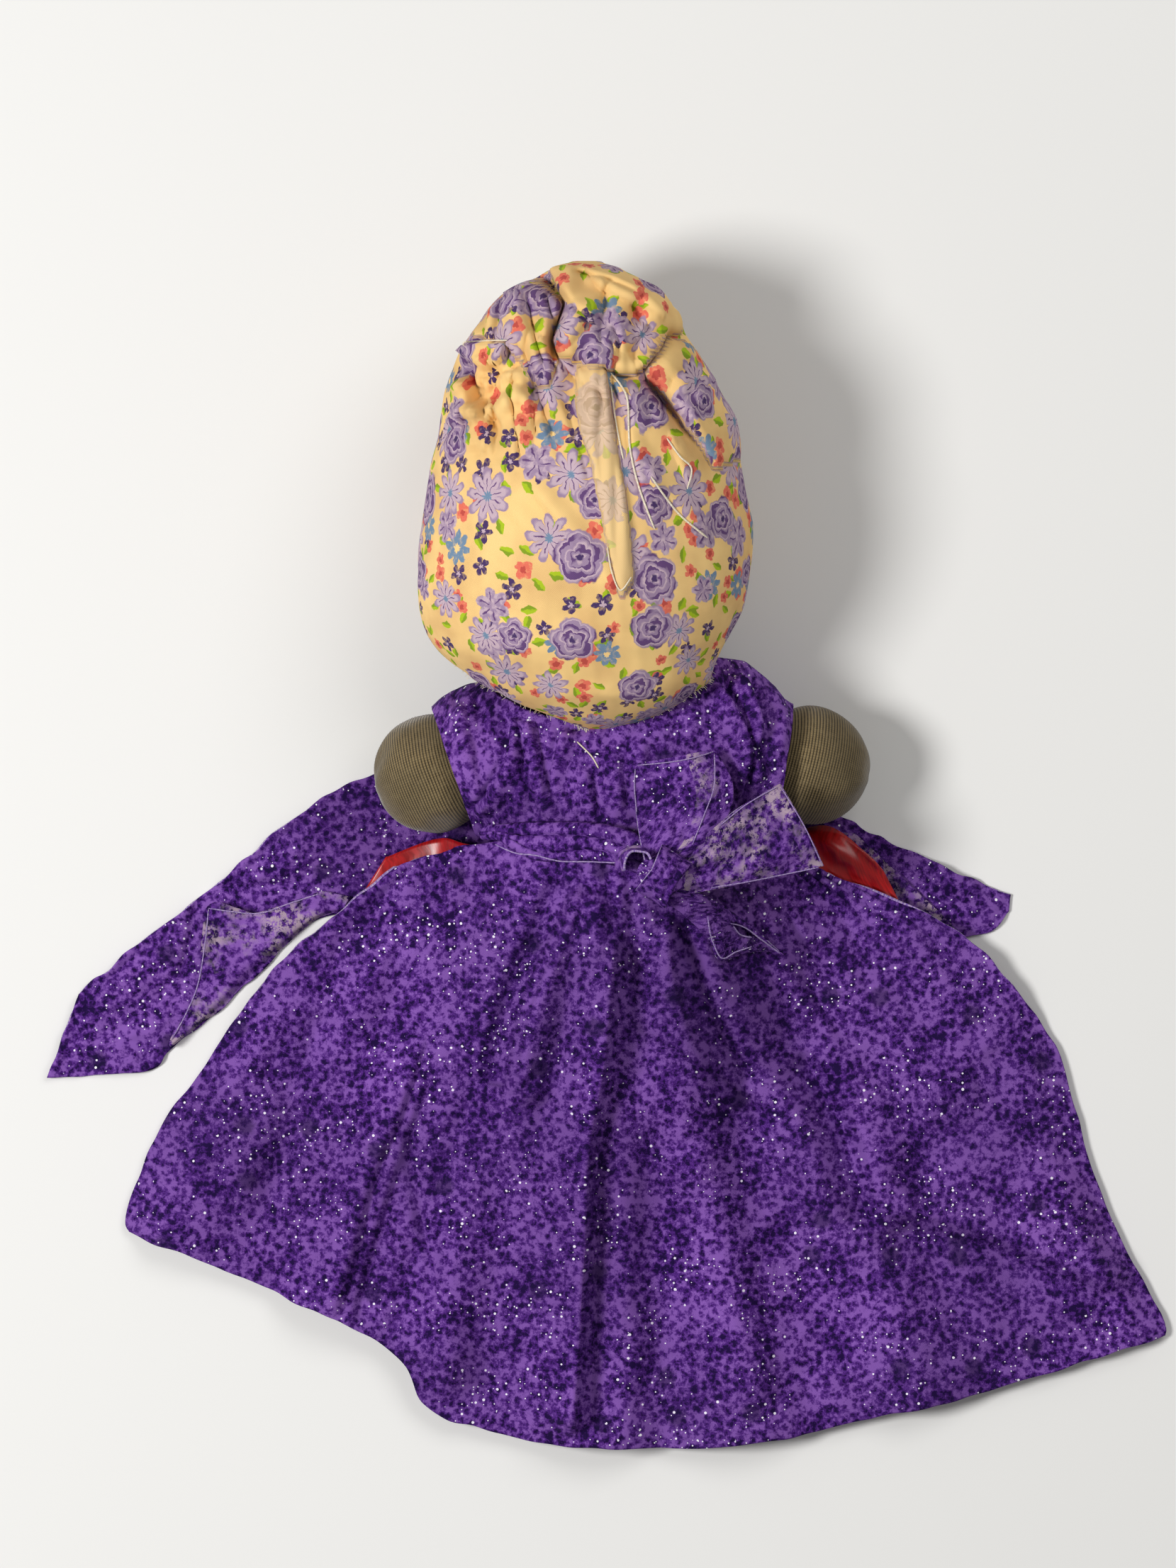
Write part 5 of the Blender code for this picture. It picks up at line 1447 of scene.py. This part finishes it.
def inside_wrap(x, y, z, margin):
    """Whether a place is inside the cap, or nearer to it than the margin."""
    width = column(WRAP_WIDTHS, y, 1)
    return np.hypot((x - HEAD_X) / (width + margin), (z - HEAD_Z) / (width * WRAP_ROUND + margin)) < 1


def cut_bodice(piece):
    """Opens the waist, the neck and the sleeves, and keeps the cloth off the cap and the head."""
    centre = Vector((HEAD_X, HEAD_Y, HEAD_Z))
    gone = []
    with editing(piece.data) as form:
        for place, way in BODICE_CUTS:
            cut(form, place, way, clear_outer=True)
        for vertex in form.verts:
            x, y, z = vertex.co
            if y < 0.033:
                continue
            ahead, above = from_nape(y, z)
            under_wrap = inside_wrap(x, y, z, WRAP_MARGIN)
            if under_wrap and (ahead > -0.0008 or above > 0.009):
                gone.append(vertex)
                continue
            if under_wrap and above > -NECK_MARGIN:
                slope = (y - NAPE_CORNER[0]) * math.sin(NAPE_TILT)
                vertex.co.z = NAPE_CORNER[1] + (slope - NECK_MARGIN) / math.cos(NAPE_TILT)
            share = vertex.co - centre
            near = math.sqrt(sum((share[k] / (HEAD_HALF[k] + NECK_MARGIN)) ** 2 for k in range(3)))
            if near < 0.86:
                gone.append(vertex)
            elif near < 1:
                vertex.co = centre + share / near
                if inside_wrap(*vertex.co, WRAP_MARGIN) and from_nape(vertex.co.y, vertex.co.z)[1] > -0.0009:
                    gone.append(vertex)
        bmesh.ops.delete(form, geom=gone, context="VERTS")


def read(items, name, width=1):
    """One value or row for each item of a mesh."""
    values = np.zeros(len(items) * width, np.float32 if width > 1 else np.int32)
    items.foreach_get(name, values)
    return values.reshape(-1, width).astype(float) if width > 1 else values


def dress_bodice(piece):
    """Lifts the bodice's pleats and gives it cloth coordinates and materials."""
    mesh = piece.data
    places = read(mesh.vertices, "co", 3)
    normals = read(mesh.vertices, "normal", 3)
    x, y, z = places.T
    behind = smooth(0.0, 0.5, normals[:, 2])
    lift = 1.25 * folds(x, y, BODICE_FOLDS)
    lift = lift + 0.00035 * ripple(x, y * 0.6, 101, 9) - 0.0005 * creases(x, y * 0.5, 102, 18, 4.0)
    gathers = 0.0004 * np.cos(2 * math.pi * x / 0.0042 + 2 * ripple(x, y, 103, 30))
    lift = (lift + gathers * (1 - smooth(0.004, 0.022, y))) * behind * smooth(0.004, 0.012, y)
    lift = np.maximum(lift, -0.0010) * (1 - inside_wrap(x, y, z, 0.0030) * (y > 0.033))
    waves = 0.0003 * ripple(y, z, 104, 9) * (1 - behind) * smooth(0.010, 0.016, y)
    places = places + normals * (lift + np.maximum(waves, -0.0003))[:, None]
    places[:, 2] = np.maximum(places[:, 2], CLOTH * 0.7)
    mesh.vertices.foreach_set("co", places.ravel())
    round_side = np.sign(x) * np.abs(z - 0.045) * 0.5 * smooth(0.02, 0.045, np.abs(x))
    wrapped = np.column_stack([x + round_side, y + 1.7])
    layer = mesh.uv_layers.new(name="cloth")
    layer.data.foreach_set("uv", wrapped[read(mesh.loops, "vertex_index")].astype(np.float32).ravel())
    mesh.materials.clear()
    for look in PURPLE_SIDES:
        mesh.materials.append(look)
    mesh.shade_smooth()
    mesh.update()


# The tie and its bow

# The tie: its raw edge in the photograph, its place and half width in front and at the back
TIE_RAW_EDGE = ((700, 1190), (728, 1202), (756, 1205), (790, 1213), (836, 1214), (880, 1216))
TIE_Y = 0.0036
TIE_BACK_Y = 0.0009
TIE_HALF = 0.0020
TIE_BACK_HALF = 0.0056


def tie_middle(angle):
    """The middle line of the tie round the waist, and half its width, wider over the back."""
    back = smooth(0.45, 0.85, np.sin(angle))
    x = (TORSO_HALF_WIDTH + TIE_OFFSET) * np.cos(angle)
    z = TORSO_Z + (TORSO_HALF_DEPTH + TIE_OFFSET) * np.sin(angle)
    z = np.maximum(z, CLOTH + GAP + 0.0005)
    to_knot = 0.0049 * back * np.exp(-((x - KNOT.x) / 0.012) ** 2)
    y = TIE_Y + (TIE_BACK_Y - TIE_Y) * back - to_knot
    return x, y, z, TIE_HALF + (TIE_BACK_HALF - TIE_HALF) * back


def make_tie_band():
    """The strip round the waist, folded lengthwise, with its raw edge turned out below."""
    columns, rows = 420, 26
    angle = turns(columns)
    across = np.linspace(1, -1, rows)[:, None]
    x, y, z, half = tie_middle(angle)
    outward = np.stack([np.cos(angle) * 0.62, np.zeros(columns), np.sin(angle)], axis=-1)
    outward = outward / np.linalg.norm(outward, axis=1, keepdims=True)
    puffed = 0.0019 * np.sqrt(np.clip(1 - across ** 2, 0, 1))
    arc = angle * 0.036
    pleat = -0.0013 * np.exp(-((across - 0.25 - 0.25 * ripple(arc, arc * 0, 111, 40)) / 0.11) ** 2)
    pleat -= 0.0011 * np.exp(-((across + 0.45 - 0.20 * ripple(arc, arc * 0, 112, 30)) / 0.10) ** 2)
    fine = 0.00012 * ripple(arc[None, :], across * 0.003, 113, 5)
    lift = (puffed - 0.0002 + pleat + fine) * smooth(-0.2, 0.3, np.sin(angle))
    plain = np.broadcast_arrays(x, y + across * half, z)
    places = np.stack(plain, axis=-1) + outward * lift[..., None]
    places[..., 2] = np.maximum(places[..., 2], 0.0006)
    cloth = measured(closed(places), 2.3)
    made = grid_piece("tie_band", places[::-1], cloth[::-1], PURPLE_SIDES, round_about=True)
    thicken(made, CLOTH)
    cord("tie_raw_edge", TIE_RAW_EDGE, 0.00020, places, "purple_cotton", RAW_EDGE)
    return settle(made, "purple_cotton", "waist_tie")


def tail_piece(name, places, looks, shift, kinds=None):
    """One piece of the bow, its cloth coordinates moved to a fresh part of the print."""
    made = thicken(grid_piece(name, places, measured(places, shift), looks, kinds=kinds), CLOTH * 0.85)
    return settle(made, "purple_cotton", "waist_tie")


UPPER_TAIL_LEFT = ((911, 1225), (902, 1185), (896, 1145), (893, 1112), (897, 1078))
UPPER_TAIL_RIGHT = ((950, 1222), (1000, 1186), (1026, 1145), (1030, 1104), (1006, 1058))
UPPER_TAIL_EDGES = (((898, 1080), (940, 1076), (975, 1070), (1004, 1061)),
                    ((974, 1190), (990, 1150), (1004, 1110), (1005, 1064)),
                    ((895, 1085), (894, 1112), (897, 1145)))


def make_upper_tail():
    """The tail that stands up over the bodice, its right side folded over to the wrong side."""
    u, v = squares(56, 80)
    plan = between_lines(photo(UPPER_TAIL_LEFT), photo(UPPER_TAIL_RIGHT), v, u)
    x, y = plan[..., 0], plan[..., 1]
    ground = 0.0524 + 0.0030 * (1 - v)
    top = 0.0022 * np.sin(math.pi * u) * (1 - 0.4 * v)
    gather = 0.0011 * np.cos(2 * math.pi * (2.3 * u + 0.15)) * (1 - smooth(0.1, 0.8, v))
    step = 0.0011 * smooth(0.50, 0.56, u + 0.10 * v)
    wave = 0.0005 * ripple(x, y, 121, 8)
    drop = 0.0035 * smooth(0.55, 1.0, u) * smooth(0.2, 0.7, v)
    places = np.stack([x, y, ground + top + gather + step + wave - drop], axis=-1)
    kinds = ((u > 0.60) & (u < 0.64 + 0.30 * v))[:-1, :-1]
    raw_edges("upper_tail_raw_edge", UPPER_TAIL_EDGES, 0.00018, places)
    return tail_piece("upper_tail", places[::-1], [BATIK, BATIK_WRONG, BATIK, RAW_EDGE], 2.9, kinds[::-1])


RIGHT_TAIL_TOP = ((955, 1205), (1000, 1170), (1040, 1138), (1096, 1106))
RIGHT_TAIL_LOW = ((950, 1262), (1014, 1250), (1080, 1236), (1157, 1220))
RIGHT_TAIL_EDGES = (((1012, 1164), (1050, 1134), (1092, 1110)), ((1097, 1110), (1130, 1165), (1154, 1216)),
                    ((1000, 1250), (1060, 1240), (1150, 1222)))


def make_right_tail():
    """The tail that fans out to the right with its wrong side up."""
    u, v = squares(76, 60)
    plan = between_lines(photo(RIGHT_TAIL_TOP), photo(RIGHT_TAIL_LOW), u, v)
    bulge = 0.0022 * np.sin(math.pi * v) * u
    x, y = plan[..., 0] + bulge * 0.3, plan[..., 1]
    turn = 2 * math.pi * (2.6 * v + 0.1 * ripple(u * 0.05, v * 0.02, 131, 30))
    ray = 0.0010 * np.cos(turn) * (1 - 0.65 * u)
    height = 0.0572 - 0.0090 * u ** 1.3 + 0.0020 * np.sin(math.pi * v) + ray + 0.0005 * ripple(x, y, 132, 9)
    height -= 0.0030 * smooth(0.6, 1.0, v) * smooth(0.3, 1.0, u)
    places = np.stack([x, y, height], axis=-1)
    raw_edges("right_tail_raw_edge", RIGHT_TAIL_EDGES, 0.00018, places)
    return tail_piece("right_tail", places, [BATIK_WRONG, BATIK, RAW_EDGE], 3.4)


LOWER_TAIL_TOP = ((956, 1246), (1008, 1270), (1060, 1308), (1104, 1346))
LOWER_TAIL_LOW = ((930, 1262), (968, 1292), (998, 1322), (1014, 1352), (1058, 1334))
LOWER_TAIL_PIT = ((1026, 1296), (1044, 1302), (1064, 1318), (1040, 1322))
LOWER_TAIL_EDGES = (((996, 1290), (1000, 1316), (1015, 1348), (1036, 1340), (1058, 1333)),
                    ((1028, 1300), (1048, 1306), (1070, 1322), (1098, 1343)),
                    ((1032, 1304), (1042, 1316), (1058, 1320)))


def make_lower_tail(skirt_places):
    """The short tail below the knot, a loose triangle with a small dark opening."""
    u, v = squares(70, 40)
    plan = between_lines(photo(LOWER_TAIL_TOP), photo(LOWER_TAIL_LOW), u, v)
    x, y = plan[..., 0], plan[..., 1]
    base = height_of(skirt_places, x, y, max, 0.0) + CLOTH
    swell = 0.0046 * np.sin(math.pi * np.clip(u * 1.1, 0, 1)) ** 0.7 * (0.30 + 0.70 * np.sin(math.pi * v))
    mouth = 0.0030 * np.exp(-((u - 0.72) / 0.12) ** 2) * smooth(0.35, 0.0, v)
    near = 0.0572 * (1 - smooth(0, 0.4, u)) + base * smooth(0, 0.4, u)
    pit = 0.0036 * puff(x, y, LOWER_TAIL_PIT, 1.0)
    height = np.maximum(base, near) + swell + mouth - pit + 0.0005 * ripple(x, y, 141, 7)
    places = np.stack([x, y, height], axis=-1)
    raw_edges("lower_tail_raw_edge", LOWER_TAIL_EDGES, 0.00020, places)
    return tail_piece("lower_tail", places, PURPLE_SIDES, 3.9)


LOOP_CENTRE = (893, 1219)


def make_side_loop():
    """The small curled loop on the left of the knot, open towards the viewer."""
    u, v = squares(70, 26)
    turn = math.pi * (1.08 - 1.45 * u)
    reach = 0.0050 - 0.0012 * v
    centre = photo(LOOP_CENTRE)
    x = centre[0] + 0.0012 * v + reach * 1.05 * np.cos(turn)
    y = centre[1] + reach * 1.15 * np.sin(turn) + 0.0004 * ripple(u * 0.02, v * 0.01, 151, 8)
    z = 0.0545 + 0.0062 * v + 0.0004 * ripple(u * 0.02, v * 0.01, 152, 8)
    places = np.stack([x, y, z], axis=-1)
    return tail_piece("side_loop", places[::-1], PURPLE_SIDES, 4.2)


KNOT_SINK = 0.0018
BAND_SLANT = 0.55


def make_knot_bundle():
    """The knot: a tight bundle of folds."""
    u, v = squares(120, 70)
    around = 2 * math.pi * u
    polar = np.clip(math.pi * v, 0.02, math.pi - 0.02)
    pleats = 0.00085 * np.cos(5 * around + 5 * v) + 0.00045 * np.cos(11 * around - 4 * v)
    radius = KNOT_RADIUS * 0.98 + pleats * np.sin(polar)
    x = KNOT.x + radius * 1.08 * np.cos(polar)
    y = KNOT.y + radius * 0.95 * np.sin(polar) * np.cos(around)
    z = KNOT.z - KNOT_SINK + radius * 0.78 * np.sin(polar) * np.sin(around)
    places = np.stack([x, y, z], axis=-1)[:, :-1]
    knot = grid_piece("knot_bundle", places, measured(closed(places), 4.6), [BATIK], round_about=True)
    cap_ends(knot)
    return settle(knot, "purple_cotton", "waist_tie")


def make_knot_band():
    """The fold of the strip that crosses the knot."""
    u, v = squares(70, 26)
    angle = math.pi * (1.12 - 1.24 * u)
    side = (v - 0.5) * (0.0082 + 0.002 * np.abs(np.cos(angle)))
    run = KNOT_RADIUS * 1.10 * np.cos(angle)
    puffed = 0.0012 * np.cos(math.pi * (v - 0.5)) + 0.0004 * np.cos(6 * math.pi * v + 2 * u)
    x = KNOT.x + run * math.sin(BAND_SLANT) + side * math.cos(BAND_SLANT) + 0.0006
    y = KNOT.y + run * math.cos(BAND_SLANT) * 1.05 - side * math.sin(BAND_SLANT)
    rise = KNOT_RADIUS * 0.80 + 0.0008 + puffed
    z = KNOT.z - KNOT_SINK + rise * np.sin(np.maximum(angle, -0.4))
    return tail_piece("knot_band", np.stack([x, y, z], axis=-1), PURPLE_SIDES, 4.9)


make_knit_body()
for arm_side, (arm_root, arm_ball) in ARMS.items():
    make_arm(arm_side, arm_root, arm_ball)
make_neck_thread()
sash_piece = make_sash()
flap_piece = make_sash_flap()
skirt_back_places = make_skirt_back()
make_skirt_front()
make_petticoat(skirt_back_places)
bodice_piece = make_bodice()
wrap_piece = make_headwrap()
band_piece = make_tie_band()
bow_pieces = [make_upper_tail(), make_right_tail(), make_lower_tail(skirt_back_places), make_side_loop()]
knot_piece = make_knot_bundle()
knot_band_piece = make_knot_band()


# The floor, the lamps and the camera

FLOOR_HALF = 3.0
FLOOR_COLOUR = srgb(226, 225, 222)


def make_stage():
    """A pale floor under the doll."""
    mesh = bpy.data.meshes.new("floor")
    outline = [(x * FLOOR_HALF, y * FLOOR_HALF, 0) for x, y in ((-1, -1), (1, -1), (1, 1), (-1, 1))]
    mesh.from_pydata(outline, [], [(0, 1, 2, 3)])
    floor = bpy.data.objects.new("floor", mesh)
    bpy.context.scene.collection.objects.link(floor)
    look = bpy.data.materials.new("pale_floor")
    look.use_nodes = True
    surface = look.node_tree.nodes["Principled BSDF"].inputs
    surface["Base Color"].default_value = (*FLOOR_COLOUR, 1)
    surface["Roughness"].default_value = 0.9
    mesh.materials.append(look)
    floor.location.z = -0.0002


def make_lamp(name, place, size, watts):
    """A round lamp that shines at the doll's origin."""
    lamp = bpy.data.lights.new(name, "AREA")
    lamp.shape = "DISK"
    lamp.size = size
    lamp.energy = watts
    made = bpy.data.objects.new(name, lamp)
    made.location = place
    made.rotation_euler = Vector(place).to_track_quat("Z", "Y").to_euler()
    bpy.context.scene.collection.objects.link(made)


def make_light():
    """A soft studio: an even background, a key lamp on the left and a weak one at the upper right."""
    world = bpy.data.worlds.new("studio")
    world.use_nodes = True
    background = world.node_tree.nodes["Background"]
    background.inputs["Color"].default_value = (1.0, 1.0, 1.0, 1.0)
    background.inputs["Strength"].default_value = 0.26
    bpy.context.scene.world = world
    make_lamp("key", (-0.92, -0.02, 1.24), 0.45, 19.5)
    make_lamp("fill", (0.62, 0.70, 1.20), 0.90, 6.5)


SENSOR_MM = 24.0
CAMERA_HEIGHT = 3.2


def make_camera():
    """The camera looks straight down, with the photograph's frame at the height of the floor."""
    camera = bpy.data.cameras.new("camera")
    camera.sensor_fit = "VERTICAL"
    camera.sensor_height = SENSOR_MM
    camera.lens = SENSOR_MM * CAMERA_HEIGHT / (PHOTO_SIZE[1] / PIXELS_PER_METRE)
    camera.clip_start = 0.05
    camera.clip_end = 20
    made = bpy.data.objects.new("camera", camera)
    made.location = (*photo((PHOTO_SIZE[0] / 2, PHOTO_SIZE[1] / 2)), CAMERA_HEIGHT)
    bpy.context.scene.collection.objects.link(made)
    bpy.context.scene.camera = made


make_stage()
make_light()
make_camera()
bpy.context.scene.view_settings.view_transform = "Standard"
